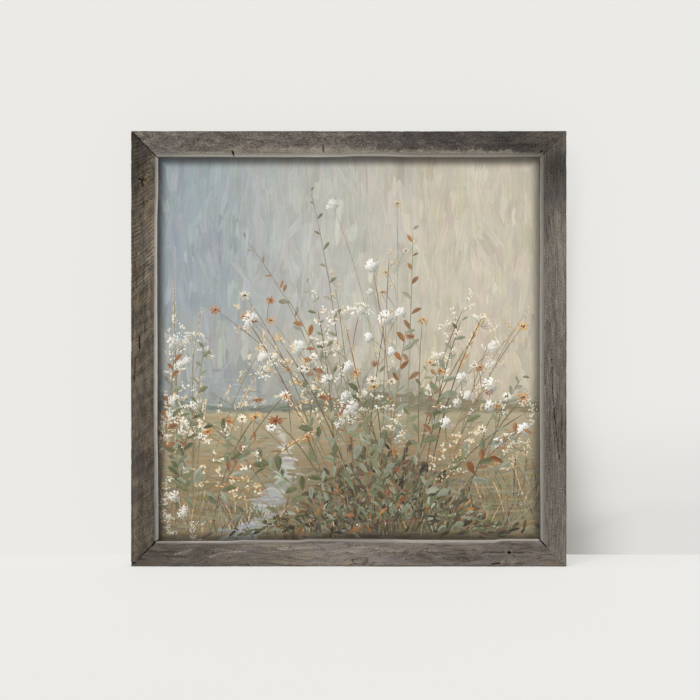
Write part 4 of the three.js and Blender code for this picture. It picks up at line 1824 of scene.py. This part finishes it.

# %% [markdown]
# The floor glows in front of the picture and at its left. The wall glows above it and at
# both sides, and less so low down at the right, where the shadow lies. At its foot the
# wall's colour is darkened by painted shade, deepest behind the picture and in its
# shadow just right of it, where paper that rises from a floor gets less light.

# %% Where the papers glow
def floor_glow(paint, x, y, z):
    front = paint.between(y, FRONT + 9 * MM, FRONT - 1 * MM, 0.5, GLOW)
    left = paint.between(x, LEFT + 10 * MM, LEFT - 10 * MM, 0.0, GLOW)
    return most(paint, front, left)


def wall_glow(paint, x, y, z):
    """The shadow fades towards the picture's top, and sooner the further right it lies."""
    above = (by_height(paint, z, 30, 150, 0.0, 0.48)
             + by_height(paint, z, 200, 420, 0.0, GLOW - 0.48))
    slant = z + 2.2 * (x - RIGHT)
    right = (by_height(paint, slant, 46, 243, 0.0, GLOW)
             * paint.between(x, RIGHT - 5 * MM, RIGHT + 25 * MM, 0.5, 1.0))
    left = paint.between(x, LEFT + 60 * MM, LEFT, 0.0, GLOW)
    return most(paint, above, right, left)


def wall_painted_shade(paint, x, z):
    """Painted shade at the wall's foot, deepest behind the picture and in its shadow just right of it.
    """
    foot = by_height(paint, z, 5, 60, 0.71, 0.92) + by_height(paint, z, 60, 160, 0.0, 0.08)
    left = paint.between(x, LEFT + 60 * MM, LEFT)
    right = paint.between(x, RIGHT, RIGHT + 100 * MM, 0.73, 0.89)
    return most(paint, foot, left, right)


print(f"shadow side of the wall: right of x = {RIGHT:.3f} m")

# %% [markdown]
# The wall is one-sided: seen from behind it is clear, by a Mix Shader that reads which
# side of the face is seen, so the picture's back can be looked at too. It also casts no
# shadow and throws no light, so the back is lit as well as the front.

# %% Floor and wall
DEEP = 4.0  # how far the floor reaches in front of the picture and behind it, m
TALL = 3.0  # how far the wall reaches above the picture, m
# The wall comes forward a little above the picture, as the picture leans back on it.
LEAN_TOP, LEAN_FOOT = 0.006, 0.070


def one_sided_wall():
    paint = lit_paper("pale_wall", wall_glow, wall_painted_shade)
    behind = paint.node("NewGeometry", {}, {}, "Backfacing")
    clear = paint.node("BsdfTransparent")
    solid = Wire(paint, paint.shader.outputs[0])
    both = paint.node("MixShader", {}, {0: behind, 1: solid, 2: clear})
    paint.put(paint.tree.nodes["Material Output"].inputs["Surface"], both)
    return paint.material


stage_plane("floor", (-DEEP, floor_z), (DEEP, floor_z),
            lit_paper("pale_floor", floor_glow).material)
lean = (LEAN_FOOT - LEAN_TOP) / (top_z - floor_z)
wall = stage_plane("wall", (LEAN_FOOT, floor_z), (LEAN_TOP - lean * TALL, top_z + TALL),
                   one_sided_wall())
wall.visible_shadow = False
wall.visible_diffuse = False
print(f"the wall leans by {math.degrees(math.atan(lean)):.1f} degrees")

# %% [markdown]
# ## Light
#
# The window is a sun with a wide disc, so its shadows are soft. It stands left of the
# picture, above it and in front. So the frame throws a thin soft shadow on the canvas
# along its left and upper edges, and a broad one on the wall at the right. The room's
# own light comes from everywhere and fills the shadows.

# %% Light
WINDOW_TURN, WINDOW_HEIGHT, WINDOW_WIDTH = 25, 37, 32  # degrees
WINDOW_POWER = 1.51
ROOM_LIGHT = 0.70

lamp = bpy.data.lights.new("window", "SUN")
lamp.energy = WINDOW_POWER
lamp.angle = math.radians(WINDOW_WIDTH)
window = bpy.data.objects.new("window", lamp)
bpy.context.collection.objects.link(window)
turn, height = math.radians(WINDOW_TURN), math.radians(WINDOW_HEIGHT)
towards = Vector((-math.sin(turn) * math.cos(height), -math.cos(turn) * math.cos(height),
                  math.sin(height)))
window.rotation_euler = towards.to_track_quat("Z", "Y").to_euler()

world = bpy.data.worlds.new("room")
world.use_nodes = True
background = world.node_tree.nodes["Background"]
background.inputs["Color"].default_value = (1, 1, 1, 1)
background.inputs["Strength"].default_value = ROOM_LIGHT
bpy.context.scene.world = world
bpy.context.scene.view_settings.view_transform = "Standard"
print("light comes along", [round(-part, 2) for part in towards])

# %% [markdown]
# ## Sizes
#
# The picture must stay the size of its solids, so both boxes are measured and the
# script prints how much the picture has grown.

# %% Sizes
shown_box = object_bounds()
grown = (shown_box[1] - shown_box[0]) - (cad_box[1] - cad_box[0])
print("grown by", [round(1000 * side, 2) for side in grown], "mm")
